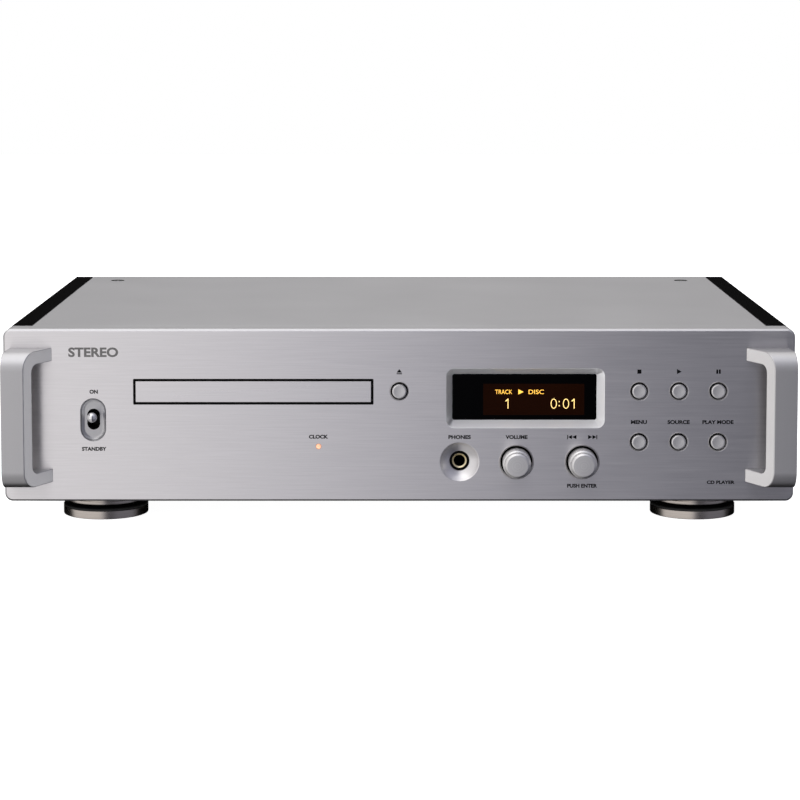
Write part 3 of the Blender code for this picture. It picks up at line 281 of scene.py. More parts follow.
# dead black: the headphone jack's plastic nose, and painted shade in the gaps round the controls, in the
# tray slot and in the cover's screw recesses
BLACK_AND_PAINTED_SHADE = moulded("black_and_painted_shade", (0.002, 0.002, 0.002), 0.7, specular=0.04)
TRAY_PLASTIC = moulded("tray_plastic", (0.020, 0.020, 0.022), 0.46)
GEAR_PLASTIC = moulded("gear_plastic", (0.66, 0.66, 0.62), 0.40)
WHITE_PLASTIC = moulded("white_insulator", (0.75, 0.75, 0.73), 0.35)
RED_PLASTIC = moulded("red_insulator", (0.45, 0.02, 0.02), 0.35)
ORANGE_PLASTIC = moulded("orange_insulator", (0.60, 0.18, 0.02), 0.35)
GLASS = moulded("display_glass", (0.0006, 0.0006, 0.0008), 0.05, 300.0, 0.0000002, 0.03)
LIT_FIELD = moulded("display_field", (0.009, 0.0022, 0.0006), 0.08, 4000.0, 0.0000002, 0.03)
AMBER = glowing("display_amber", (1.0, 0.50, 0.06), 0.85)
YELLOW = glowing("display_yellow", (1.0, 0.66, 0.22), 0.85)
LAMP = glowing("lamp_glow", (0.90, 0.46, 0.28), 0.40)
INK_BLACK = moulded("black_ink", (0.003, 0.003, 0.004), 0.60, specular=0.04)
INK_GREY = moulded("grey_ink", (0.13, 0.127, 0.125), 0.50, specular=0.15)
INK_WHITE = moulded("white_ink", (0.62, 0.62, 0.60), 0.50)
STRUCTURE_STEEL = blasted("zinc_steel", (0.55, 0.56, 0.57), 0.36, grain=500.0)
WINDING = spun("winding_copper", (0.50, 0.22, 0.10), 0.38)
BOARD = circuit("circuit_board")


# ---- Mesh tools ----

def add_mesh(name, bm, material):
    mesh = bpy.data.meshes.new(name)
    bmesh.ops.scale(bm, vec=(MM, MM, MM), verts=bm.verts)
    bm.to_mesh(mesh)
    bm.free()
    obj = bpy.data.objects.new(name, mesh)
    bpy.context.scene.collection.objects.link(obj)
    if material is not None:
        mesh.materials.append(material)
    return obj


def soften(obj, degrees=32.0):
    """Smooth shading, kept sharp at real edges, with the large faces shaded flat."""
    obj.data.shade_smooth()
    obj.data.set_sharp_from_angle(angle=math.radians(degrees))
    normals = obj.modifiers.new("normals", "WEIGHTED_NORMAL")
    normals.weight = 80
    normals.keep_sharp = True
    return obj


def bevelled(obj, width):
    bevel = obj.modifiers.new("edges", "BEVEL")
    bevel.width = width * MM
    bevel.segments = 3
    bevel.limit_method = "ANGLE"
    bevel.angle_limit = math.radians(40)
    return obj


def block(name, low, high, material=None, edge=0.0, segments=3):
    low, high = Vector(low), Vector(high)
    bm = bmesh.new()
    bmesh.ops.create_cube(bm, size=1.0)
    bmesh.ops.scale(bm, vec=high - low, verts=bm.verts)
    bmesh.ops.translate(bm, vec=(low + high) / 2, verts=bm.verts)
    if edge:
        bmesh.ops.bevel(bm, geom=bm.edges, offset=edge, segments=segments, profile=0.5, affect="EDGES")
    return soften(add_mesh(name, bm, material))


def turned(name, profile, at, facing, material=None, sides=72):
    """A turned solid. Its (radius, height) points run down the outer side; off the axis it is a ring."""
    bm = bmesh.new()
    rings = []
    for radius, height in profile:
        if radius <= 0.0:
            rings.append([bm.verts.new((0.0, 0.0, height))])
            continue
        angles = [2 * math.pi * i / sides for i in range(sides)]
        rings.append([bm.verts.new((radius * math.cos(a), radius * math.sin(a), height)) for a in angles])
    pairs = list(zip(rings, rings[1:]))
    if profile[0][0] > 0.0:
        pairs.append((rings[-1], rings[0]))
    for upper, lower in pairs:
        for i in range(sides):
            j = (i + 1) % sides
            corners = [upper[i % len(upper)], lower[i % len(lower)],
                       lower[j % len(lower)], upper[j % len(upper)]]
            bm.faces.new(list(dict.fromkeys(corners)))
    bmesh.ops.recalc_face_normals(bm, faces=bm.faces)
    obj = soften(add_mesh(name, bm, material))
    obj.location = Vector(at) * MM
    obj.rotation_euler = FACING[facing]
    return obj


def skin(bm, rings):
    """Joins rings of points into a closed solid, and gives the rings of vertices."""
    loops = [[bm.verts.new(point) for point in ring] for ring in rings]
    for near, far in zip(loops, loops[1:]):
        for i, corner in enumerate(near):
            j = (i + 1) % len(near)
            bm.faces.new((corner, near[j], far[j], far[i]))
    bm.faces.new(loops[0])
    bm.faces.new(loops[-1])
    bmesh.ops.recalc_face_normals(bm, faces=bm.faces)
    return loops


def loft(name, rings, material=None):
    bm = bmesh.new()
    skin(bm, rings)
    return soften(add_mesh(name, bm, material))


def rod(name, start, end, radius, material=None, sides=32):
    start, end = Vector(start), Vector(end)
    along = end - start
    bm = bmesh.new()
    bmesh.ops.create_cone(bm, cap_ends=True, segments=sides, radius1=radius, radius2=radius,
                          depth=along.length)
    obj = soften(add_mesh(name, bm, material))
    obj.location = (start + end) / 2 * MM
    obj.rotation_euler = along.to_track_quat("Z", "Y").to_euler()
    return obj


def shaped(obj, operation, tools):
    """Cuts or joins with the tools, and bakes the result into the object's mesh."""
    for tool in tools:
        boolean = obj.modifiers.new(tool.name, "BOOLEAN")
        boolean.operation = operation
        boolean.object = tool
        boolean.material_mode = "TRANSFER"
    bpy.context.view_layer.update()
    evaluated = obj.evaluated_get(bpy.context.evaluated_depsgraph_get())
    mesh = bpy.data.meshes.new_from_object(evaluated)
    obj.modifiers.clear()
    obj.data = mesh
    for tool in tools:
        bpy.data.objects.remove(tool)
    return soften(obj)


def cut(obj, *tools):
    return shaped(obj, "DIFFERENCE", tools)


def join(obj, *tools):
    return shaped(obj, "UNION", tools)


def arc(centre, radius, start, end, steps):
    points = []
    for step in range(steps + 1):
        angle = math.radians(start + (end - start) * step / steps)
        points.append((centre[0] + radius * math.cos(angle), centre[1] + radius * math.sin(angle)))
    return points


def rounded_rectangle(centre, size, radius, steps=8):
    half_u, half_v = size[0] / 2 - radius, size[1] / 2 - radius
    corners = ((half_u, half_v, 0), (-half_u, half_v, 90), (-half_u, -half_v, 180), (half_u, -half_v, 270))
    points = []
    for u, v, start in corners:
        points += arc((centre[0] + u, centre[1] + v), radius, start, start + 90, steps)
    return points


def on_front(outline, y):
    return [(u, y, v) for u, v in outline]


def repaint(obj, material, chosen):
    """Another material on the faces whose normal is chosen."""
    obj.data.materials.append(material)
    for face in obj.data.polygons:
        if chosen(face.normal):
            face.material_index = len(obj.data.materials) - 1
    return obj


def carry(obj, body):
    bpy.context.view_layer.update()
    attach(obj, body)
    return obj


def stand_for(obj, *nodes):
    """The piece is shown in place of CAD nodes, and moves with them."""
    carry(obj, BODY_OF[nodes[0]])
    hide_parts(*nodes)
    return obj


def detail(obj, node, slot=None):
    """A small piece that goes with a CAD node."""
    return carry(obj, BODY_OF[node])


# ---- Front panel ----

BUTTONS = [node for node in BODY_OF if node.endswith("_button")]
KNOBS = ("volume_knob", "jog_knob")
BUTTON_HOLE = 4.75
BUTTON_RIM = 0.7
KNOB_WELL = 8.9
KNOB_RIM = 1.0
KNOB_WELL_DEPTH = 4.0
DISH_RADIUS = 11.0
DISH_SPHERE = 14.43
DISH_CENTRE = math.sqrt(DISH_SPHERE ** 2 - DISH_RADIUS ** 2)
JACK_RADIUS = 5.5
REACH = 1.0
SWITCH_DISH = (14.2, 24.1)
SWITCH_SLOT = (7.2, 11.9)
SWITCH_DISH_DEPTH = 2.4
SLOT_GAP = 1.3                   # round the tray's fascia
PANEL_CORNER = 4.5
PANEL_EDGE = 1.1


def face_hole(name, node, radius, rim, depth):
    """Cutter for a round hole whose rim is chamfered and very slightly rounded."""
    at = middle(node)
    soft = 0.12
    profile = [(0.0, REACH), (radius + rim + soft, REACH), (radius + rim + soft, 0.0),
               (radius + rim - soft, -soft), (radius + soft, -rim + soft), (radius, -rim - soft),
               (radius, -depth), (0.0, -depth)]
    return turned(name, profile, (at.x, FACE_Y, at.z), "front", RIM_METAL, 72)


def front_panel():
    low, high, mid = span("front_panel")
    size = (high.x - low.x, high.z - low.z)
    soft = 0.15
    centre = (mid.x, mid.z)

    def ring(inset, y):
        inner = (size[0] - 2 * inset, size[1] - 2 * inset)
        outline = rounded_rectangle(centre, inner, PANEL_CORNER - inset, 10)
        return on_front(outline, y)

    edge = PANEL_EDGE
    panel = loft("panel_plate", [ring(edge + soft, low.y), ring(edge - soft / 2, low.y + soft / 2),
                                 ring(soft / 2, low.y + edge - soft / 2), ring(0.0, low.y + edge + soft),
                                 ring(0.0, high.y)], PANEL_METAL)
    repaint(panel, COVER_METAL, lambda normal: abs(normal.y) < 0.9)
    # the downward faces take the dark grey: painted shade along the panel's bottom edge
    repaint(panel, UNDERSIDE_PAINTED_SHADE, lambda normal: normal.z < -0.5)
    through = high.y - low.y + REACH
    tools = [face_hole(node + "_tool", node, BUTTON_HOLE, BUTTON_RIM, through) for node in BUTTONS]
    for node in KNOBS:
        at = middle(node)
        tools.append(face_hole(node + "_tool", node, KNOB_WELL, KNOB_RIM, KNOB_WELL_DEPTH))
        tools.append(rod(node + "_shaft_tool", (at.x, FACE_Y + KNOB_WELL_DEPTH - REACH, at.z),
                         (at.x, BACK_Y + REACH, at.z), 3.6))
    lamp = middle("clock_lamp")
    tools.append(rod("lamp_tool", (lamp.x, FACE_Y - REACH, lamp.z), (lamp.x, BACK_Y + REACH, lamp.z), 1.6))
    tools += [phones_tool(), display_tool(), pocket_tool("display_window"), switch_tool(),
              switch_slot_tool(), pocket_tool("power_switch_body"), tray_slot_tool()]
    stand_for(cut(panel, *tools), "front_panel")


def phones_tool():
    at = middle("headphone_ring")
    hole = JACK_RADIUS + 0.3
    soft = 0.2
    profile = [(0.0, REACH), (DISH_RADIUS + soft, REACH), (DISH_RADIUS + soft, 0.0)]
    steps = 12
    for step in range(steps + 1):
        radius = DISH_RADIUS - soft / 2 + (hole - DISH_RADIUS) * step / steps
        profile.append((radius, DISH_CENTRE - math.sqrt(DISH_SPHERE ** 2 - radius ** 2)))
    profile += [(hole - soft / 2, FACE_Y - BACK_Y - REACH), (0.0, FACE_Y - BACK_Y - REACH)]
    return turned("phones_tool", profile, (at.x, FACE_Y, at.z), "front", RIM_METAL, 96)


DISPLAY_SIZE = (88.8, 33.6)
DISPLAY_OFFSET = (0.3, 0.1)            # of the recess's mouth from the window's centre
WINDOW_LIP = 1.6


def window_facts():
    low, high, mid = span("display_window")
    size = (high.x - low.x - 2 * WINDOW_LIP, high.z - low.z - 2 * WINDOW_LIP)
    return (mid.x, mid.z), size, low.y - 0.3


def display_tool():
    centre, size, window_y = window_facts()
    mouth = (centre[0] + DISPLAY_OFFSET[0], centre[1] + DISPLAY_OFFSET[1])
    soft = 0.3

    def ring(share, y, grow=0.0):
        """Outline part of the way from the mouth to the window."""
        at = [m + (c - m) * share for m, c in zip(mouth, centre)]
        extent = [d + (s - d) * share + grow for d, s in zip(DISPLAY_SIZE, size)]
        return on_front(rounded_rectangle(at, extent, 4.5 + (1.2 - 4.5) * share, 8), y)

    depth = window_y - FACE_Y
    rings = [ring(0.0, FACE_Y - REACH, soft), ring(0.0, FACE_Y, soft), ring(0.03, FACE_Y + 0.05 * depth),
             ring(1.0, window_y), ring(1.0, window_y + REACH)]
    # the recess's upper and left walls take a darker, more metallic copy of the bevel metal: painted shade;
    # the lower and right walls keep the lighter, more diffuse one
    return repaint(loft("display_tool", rings, BEZEL_METAL), SHADED_METAL,
                   lambda normal: normal.z > 0.5 or normal.x < -0.5)


def pocket_tool(node):
    """Cutter that makes room for a piece behind the panel's face."""
    low, high, _ = span(node)
    gap = 0.3
    return block(node + "_pocket_tool", (low.x - gap, low.y - gap, low.z - gap),
                 (high.x + gap, BACK_Y + REACH, high.z + gap))


def switch_ring(size, y):
    at = middle("power_switch_body")
    return on_front(rounded_rectangle((at.x, at.z), size, size[0] / 2 - 0.02, 14), y)


def switch_tool():
    """The switch's long dish curves down to a flat floor."""
    steps = 8
    soft = 0.3
    wide = [s + soft for s in SWITCH_DISH]
    rings = [switch_ring(wide, FACE_Y - REACH), switch_ring(wide, FACE_Y)]
    for step in range(steps + 1):
        turn = math.radians(8 + 82 * step / steps)
        inset = 4.5 * (1 - math.cos(turn))
        depth = SWITCH_DISH_DEPTH * math.sin(turn)
        rings.append(switch_ring([s - inset for s in SWITCH_DISH], FACE_Y + depth))
    return loft("switch_tool", rings, DISH_METAL)


def switch_slot_tool():
    front = span("power_switch_body")[0].y
    rings = [switch_ring(SWITCH_SLOT, FACE_Y), switch_ring(SWITCH_SLOT, front + REACH)]
    return loft("switch_slot_tool", rings)


def fascia_ring(gap, y):
    """Outline at a distance round the tray's fascia."""
    low, high, mid = span("tray_fascia")
    size = (high.x - low.x + 2 * gap, high.z - low.z + 2 * gap)
    return on_front(rounded_rectangle((mid.x, mid.z), size, 0.5, 4), y)


def tray_slot_tool():
    rings = [fascia_ring(SLOT_GAP, FACE_Y - REACH), fascia_ring(SLOT_GAP, BACK_Y + REACH)]
    return loft("tray_slot_tool", rings)


# ---- Case ----

SCREW_NODES = ("top_screw_left", "top_screw_right")


def case():
    for node in ("side_panel_left", "side_panel_right"):
        low, high, _ = span(node)
        # the plate takes the near-black copy of the paint, painted shade on its top and ends; its side faces
        # take the rear panel's paint
        plate = block(node + "_plate", low, high, SIDE_PAINTED_SHADE, 0.4, 2)
        stand_for(repaint(plate, REAR_PAINT, lambda normal: abs(normal.x) > 0.9), node)
    low, high, _ = span("top_cover")
    cover = block("cover_plate", low, high, COVER_METAL, 0.3, 2)
    tools = []
    for node in SCREW_NODES:
        screw_low, screw_high, at = span(node)
        head = (screw_high.x - screw_low.x) / 2 + 0.3
        # each recess's walls take the cutter's dead black: painted shade round the screw head
        profile = [(0.0, REACH), (head + 0.35, REACH), (head + 0.35, 0.0), (head, -0.3),
                   (head, -1.6), (1.8, -2.4), (1.8, -5), (0.0, -5)]
        tools.append(turned(node + "_tool", profile, (at.x, at.y, high.z), "up", BLACK_AND_PAINTED_SHADE, 48))
    stand_for(cut(cover, *tools), "top_cover")
    for node in SCREW_NODES:
        screw(node)


def hexagon(radius, z):
    return [(radius * math.cos(math.radians(60 * i)), radius * math.sin(math.radians(60 * i)), z)
            for i in range(6)]


def screw(node):
    """Button-headed screw with a hexagon socket."""
    low, high, at = span(node)
    head = (high.x - low.x) / 2
    height = high.z - low.z
    profile = [(0.0, 0.0), (head - 0.7, 0.0), (head - 0.2, -0.2), (head, -0.6),
               (head, -1.3), (1.5, -2.0), (1.5, -height), (0.0, -height)]
    body = turned(node + "_head", profile, (0.0, 0.0, 0.0), "up", SCREW_METAL, 48)
    socket = loft(node + "_socket", [hexagon(1.3, REACH), hexagon(1.3, -1.1)])
    cut(body, socket)
    body.location = Vector((at.x, at.y, high.z)) * MM
    stand_for(body, node)


HANDLE_LEG = 7.4
HANDLE_BAR = 7.5
HANDLE_ROUND = 10.0
HANDLE_INNER_ROUND = 4.5
HANDLE_INNER_X = (194.8, 206.9)
HANDLE_OUTER_X = (218.2, 219.6)


def handle(node, sign):
    low, high, _ = span(node)
    reach = high.y - low.y
    bottom, top = low.z, high.z
    bar = reach - HANDLE_BAR
    outline = [(0.0, bottom)]
    outline += arc((reach - HANDLE_ROUND, bottom + HANDLE_ROUND), HANDLE_ROUND, -90, 0, 18)
    outline += arc((reach - HANDLE_ROUND, top - HANDLE_ROUND), HANDLE_ROUND, 0, 90, 18)
    outline += [(0.0, top), (0.0, top - HANDLE_LEG)]
    inner = HANDLE_INNER_ROUND
    outline += arc((bar - inner, top - HANDLE_LEG - inner), inner, 90, 0, 10)
    outline += arc((bar - inner, bottom + HANDLE_LEG + inner), inner, 0, -90, 10)
    outline.append((0.0, bottom + HANDLE_LEG))
    bm = bmesh.new()
    inside, _ = skin(bm, [[(sign * (near + (far - near) * out / reach), high.y - out, z)
                           for out, z in outline] for near, far in (HANDLE_INNER_X, HANDLE_OUTER_X)])
    rims = []
    for edge in bm.edges:
        a, b = edge.verts
        same_side = (a in inside) == (b in inside)
        if same_side and max(high.y - a.co.y, high.y - b.co.y) > 0.1:
            rims.append(edge)
    bmesh.ops.bevel(bm, geom=rims, offset=0.35, segments=3, profile=0.5, affect="EDGES")
    grip = add_mesh(node + "_grip", bm, HANDLE_METAL)
    # the side faces take the lighter copy of the handle metal: painted light on the handles' sides
    stand_for(soften(repaint(grip, HANDLE_SIDE_PAINTED_LIGHT, lambda normal: abs(normal.x) > 0.9)), node)


def foot(place):
    """Base disc with a soft ring on it, and a grooved cap whose spike stands in the base's dish."""
    low, high, at = span(f"foot_base_{place}")
    radius = (high.x - low.x) / 2
    ring_low = 4.8
    e = 0.5
    base = [(0.0, 2.5), (11.5, ring_low),
            (radius - 1.2 * e, ring_low), (radius - 0.3 * e, ring_low - 0.4 * e),
            (radius, ring_low - 1.2 * e), (radius, 1.2 * e),
            (radius - 0.3 * e, 0.4 * e), (radius - 1.2 * e, 0.0),
            (0.0, 0.0)]
    centre = (at.x, at.y, 0.0)
    stand_for(turned(f"foot_disc_{place}", base, centre, "up", FOOT_METAL, 128), f"foot_base_{place}")
    top = high.z
    ring = [(14.0, top), (radius - e, top), (radius, top - e), (radius, ring_low + 0.12),
            (radius - 0.2, ring_low + 0.02), (11.8, ring_low + 0.02)]
    detail(turned(f"foot_ring_{place}", ring, centre, "up", RUBBER, 128), f"foot_base_{place}")
    low, high, at = span(f"foot_cap_{place}")
    radius, bottom, top = (high.x - low.x) / 2, 8.2, high.z
    groove = 10.4
    cap = [(0.0, top), (radius - e, top), (radius, top - e), (radius, groove + 0.5),
           (radius - 0.35, groove + 0.3), (radius - 0.35, groove - 0.3), (radius, groove - 0.5),
           (radius, bottom + 1.2 * e), (radius - 0.3 * e, bottom + 0.4 * e), (radius - 1.2 * e, bottom),
           (9.0, bottom), (0.0, low.z)]
    stand_for(turned(f"foot_top_{place}", cap, centre, "up", FOOT_METAL, 128), f"foot_cap_{place}")


# ---- Controls ----

def painted_shade_sleeve(name, at, inner, outer, near, far):
    """Black sleeve inside a hole of the panel, from one depth to another: painted shade in the gap round a
    control.
    """
    profile = [(inner, -near), (outer, -near), (outer, -far), (inner, -far)]
    bush = turned(name, profile, (at.x, FACE_Y, at.z), "front", BLACK_AND_PAINTED_SHADE, 72)
    detail(bush, "front_panel", "black_plastic")


def button(node):
    """Cap with a softened edge and a very slightly dished face, on its flange and stem."""
    low, high, at = span(node)
    # black sleeve in the hole: painted shade in the gap round the cap
    painted_shade_sleeve(node + "_shade_bush", at, 4.3, BUTTON_HOLE - INK, 1.0, BACK_Y - FACE_Y - 0.2)
    proud, length = FACE_Y - low.y, high.y - FACE_Y
    r, e = 4.0, 0.5
    flange = FACE_Y - BACK_Y - 0.3
    wide = (high.x - low.x) / 2
    profile = [(0.0, proud - 0.12), (r * 0.55, proud - 0.09), (r - 1.6 * e, proud), (r - e, proud),
               (r - 0.3 * e, proud - 0.3 * e), (r, proud - e), (r, flange),
               (wide, flange), (wide, flange - 1.0),
               (1.5, flange - 1.0), (1.5, -length), (0.0, -length)]
    stand_for(turned(node + "_cap", profile, (at.x, FACE_Y, at.z), "front", CONTROL_METAL, 64), node)


def knob(node):
    low, high, at = span(node)
    # black sleeve and floor ring in the well: painted shade round and under the knob
    painted_shade_sleeve(node + "_shade_bush", at, 8.25, KNOB_WELL - INK, 1.3, KNOB_WELL_DEPTH - 0.4)
    painted_shade_sleeve(node + "_shade_washer", at, 4.2, KNOB_WELL - INK, KNOB_WELL_DEPTH - 0.35, KNOB_WELL_DEPTH - INK)
    length, sunk = FACE_Y - low.y, high.y - FACE_Y
    base, nose, face = 7.9, 6.9, 5.9
    shoulder = 8.0
    profile = [(0.0, length), (face - 0.15, length), (face + 0.05, length - 0.08),
               (nose - 0.25, length - 0.80), (nose - 0.06, length - 1.0),
               (nose, length - 1.3), (nose, shoulder + 0.95), (nose + 0.12, shoulder + 0.72),
               (base - 0.3, shoulder + 0.3), (base - 0.08, shoulder + 0.1),
               (base, shoulder - 0.25), (base, -sunk + 0.3), (base - 0.3, -sunk),
               (3.2, -sunk), (3.2, shoulder), (0.0, shoulder)]
    stand_for(turned(node + "_cap", profile, (at.x, FACE_Y, at.z), "front", CONTROL_METAL, 128), node)


def headphone_socket():
    at = middle("headphone_ring")
    nose = FACE_Y - span("headphone_ring")[0].y
    length = span("headphone_jack")[1].y - FACE_Y
    here = (at.x, FACE_Y, at.z)
    bore, seat = 3.25, 4.4
    floor = -length + 3
    profile = [(0.0, floor), (bore, floor), (bore, nose - 1.3), (seat, nose - 1.3), (seat, nose),
               (JACK_RADIUS - 0.3, nose), (JACK_RADIUS, nose - 0.3), (JACK_RADIUS, -length),
               (0.0, -length)]
    jack = turned("jack_nose", profile, here, "front", BLACK_AND_PAINTED_SHADE, 96)
    low, high, _ = span("headphone_jack")
    shell = block("jack_housing", (low.x, BACK_Y + 0.3, low.z), (high.x, high.y, high.z), None, 0.5)
    bore_tool = rod("jack_bore_tool", (at.x, FACE_Y, at.z), (at.x, high.y - 3, at.z), bore + 0.2)
    stand_for(join(jack, cut(shell, bore_tool)), "headphone_jack")
    outer = 4.15
    ring = [(outer - 0.12, nose), (outer, nose - 0.12), (outer, nose - 1.0), (bore, nose - 1.0),
            (bore, nose - 0.7)]
    stand_for(turned("jack_ring", ring, here, "front", GOLD_METAL, 96), "headphone_ring")


def power_lever():
    """Chromed bat lever on its cross pin, resting in its upper position."""
    at = middle("power_switch_body")
    pivot = Vector((at.x, FACE_Y + 11.5, at.z + 1.5))
    reach, ball, root = 17.0, 2.8, 2.1
    profile = [(max(0.0, r), reach + h) for r, h in arc((0.0, 0.0), ball, 90, -48, 20)]
    profile[0] = (0.0, reach + ball)
    profile += [(root + 0.12, reach * 0.70), (root, reach * 0.45), (1.6, 0.0), (1.6, -2.5),
                (0.0, -2.5)]
    lever = turned("lever_bat", profile, (0.0, 0.0, 0.0), "up", CHROME_METAL, 72)
    pin = rod("lever_pin", (-5.5, 0.0, 0.0), (5.5, 0.0, 0.0), 0.8, sides=24)
    join(lever, pin)
    lever.location = pivot * MM
    lever.rotation_euler = (math.pi / 2 - math.radians(2), 0.0, 0.0)
    stand_for(lever, "power_lever")


def clock_lamp():
    low, high, at = span("clock_lamp")
    radius, length = (high.x - low.x) / 2, high.y - FACE_Y
    dome = FACE_Y - low.y
    profile = [(0.0, dome), (radius * 0.5, dome * 0.85), (radius * 0.85, dome * 0.4), (radius, 0.0),
               (radius, -length), (0.0, -length)]
    stand_for(turned("lamp_dome", profile, (at.x, FACE_Y, at.z), "front", LAMP, 48), "clock_lamp")


def tray_fascia():
    low, high, _ = span("tray_fascia")
    near, far = FACE_Y + 0.15, BACK_Y - 0.5
    outer, inner = SLOT_GAP - INK, 0.15
    # black sleeve round the fascia inside the slot: painted shade in the gap
    slot = loft("slot_painted_shade", [fascia_ring(outer, near), fascia_ring(outer, far)], BLACK_AND_PAINTED_SHADE)
    tool = loft("slot_liner_tool", [fascia_ring(inner, near - REACH), fascia_ring(inner, far + REACH)])
    detail(cut(slot, tool), "front_panel", "black_plastic")
    trim = Vector((0.12, 0.0, 0.12))
    stand_for(block("fascia_strip", low + trim, high - trim, FASCIA_METAL, 0.15, 2), "tray_fascia")


# ---- Lettering ----

def lettering(name, text, at, size, material=INK_BLACK, node="front_panel", slot="black_plastic",
              back=False, weight=0.045):
    """Flat printed letters. at is the centre (x, y, z) and size the width and height that they fill."""
    curve = bpy.data.curves.new(name, "FONT")
    curve.body = text
    curve.extrude = 0.01
    curve.resolution_u = 4
    curve.offset = weight
    source = bpy.data.objects.new(name + "_source", curve)
    bpy.context.scene.collection.objects.link(source)
    bpy.context.view_layer.update()
    mesh = bpy.data.meshes.new_from_object(source.evaluated_get(bpy.context.evaluated_depsgraph_get()))
    bpy.data.objects.remove(source)
    bpy.data.curves.remove(curve)
    spans = [(min(v.co[i] for v in mesh.vertices), max(v.co[i] for v in mesh.vertices)) for i in range(3)]
    centres = [(low + high) / 2 for low, high in spans]
    scales = [extent * MM / (high - low) for extent, (low, high) in zip((*size, INK), spans)]
    for vert in mesh.vertices:
        u, v, w = ((c - m) * s for c, m, s in zip(vert.co, centres, scales))
        vert.co = (-u, w, v) if back else (u, -w, v)
    mesh.materials.clear()
    mesh.materials.append(material)
    obj = bpy.data.objects.new(name, mesh)
    bpy.context.scene.collection.objects.link(obj)
    obj.location = Vector(at) * MM
    return detail(obj, node, slot)


def symbol(name, outlines, at, y, material=INK_BLACK, node="front_panel", slot="black_plastic"):
    """Printed signs, each outline given in millimetres round at (x, z)."""
    bm = bmesh.new()
    for outline in outlines:
        placed = [(at[0] + u, at[1] + v) for u, v in outline]
        skin(bm, [on_front(placed, y - INK), on_front(placed, y)])
    return detail(add_mesh(name, bm, material), node, slot)


def rectangle(u_low, v_low, u_high, v_high):
    return [(u_low, v_low), (u_high, v_low), (u_high, v_high), (u_low, v_high)]


def arrow(u_low, u_high, half):
    return [(u_low, -half), (u_high, 0.0), (u_low, half)]


DIGIT_ONE = [rectangle(-0.02, -2.85, 0.42, 2.85), [(-1.35, 1.55), (-1.05, 1.15), (0.10, 2.1), (0.10, 2.85)]]
COLON = [rectangle(-0.3, -1.5, 0.3, -0.85), rectangle(-0.3, 0.85, 0.3, 1.5)]


def oval(width, height, stroke, steps=20):
    """A ring of short strokes."""
    turns = [2 * math.pi * i / steps for i in range(steps + 1)]
    points = [(math.cos(a), math.sin(a)) for a in turns]
    outer = [(u * width, v * height) for u, v in points]
    inner = [(u * (width - stroke), v * (height - stroke)) for u, v in points]
    return [[outer[i], outer[i + 1], inner[i + 1], inner[i]] for i in range(steps)]


DIGIT_ZERO = oval(1.75, 2.85, 0.42)
CAPS = 2.25                      # height of the panel's small capitals
LABEL_LIFT = 11.3                # from a button's centre up to its word
SIGN_LIFT = 11.1


def panel_words():
    inked = FACE_Y - INK / 2
    switch = middle("power_switch_body")
    lamp = middle("clock_lamp")
    knob_z = middle("volume_knob").z
    words = [("word_on", "ON", switch.x + 0.4, switch.z + 15.9, 4.7),
             ("word_standby", "STANDBY", switch.x + 0.4, switch.z - 16.5, 13.8),
             ("word_clock", "CLOCK", lamp.x, lamp.z + 5.5, 10.8),
             ("word_phones", "PHONES", middle("headphone_ring").x, knob_z + 14.2, 12.6),
             ("word_volume", "VOLUME", middle("volume_knob").x, knob_z + 14.2, 12.4),
             ("word_push_enter", "PUSH ENTER", middle("jog_knob").x, knob_z - 13.5, 16.9)]
    for node, text, width in (("menu_button", "MENU", 9.0), ("source_button", "SOURCE", 12.5),
                              ("play_mode_button", "PLAY MODE", 17.5)):
        at = middle(node)
        words.append(("word_" + node, text, at.x, at.z + LABEL_LIFT, width))
    for name, text, x, z, width in words:
        lettering(name, text, (x, inked, z), (width, CAPS))
    lettering("word_player", "CD PLAYER", (PANEL_HIGH.x - 41.0, inked, PANEL_LOW.z + 10.8), (15.7, 2.0))
    lettering("word_stereo", "STEREO", (switch.x + 0.4, inked, PANEL_HIGH.z - 13.1), (28.0, 5.5),
              INK_GREY, weight=0.035)


def panel_signs():
    signs = {"stop_button": [rectangle(-1.15, -1.15, 1.15, 1.15)],
             "play_button": [arrow(-1.2, 1.4, 1.45)],
             "pause_button": [rectangle(-1.25, -1.2, -0.2, 1.2), rectangle(0.2, -1.2, 1.25, 1.2)],
             "eject_button": [[(-1.5, -0.55), (1.5, -0.55), (0.0, 1.4)], rectangle(-1.5, -1.5, 1.5, -0.95)]}
    for node, outlines in signs.items():
        at = middle(node)
        symbol("sign_" + node, outlines, (at.x, at.z + SIGN_LIFT), FACE_Y)
    jog = middle("jog_knob")
    forward = [arrow(-2.6, -0.1, 1.2), arrow(-0.1, 2.1, 1.2), rectangle(2.1, -1.2, 2.6, 1.2)]
    backward = [[(-u, v) for u, v in outline] for outline in forward]
    for name, outlines, shift in (("forward", forward, 5.75), ("backward", backward, -5.95)):
        symbol("sign_skip_" + name, outlines, (jog.x + shift, jog.z + 14.2), FACE_Y)


# ---- Display ----

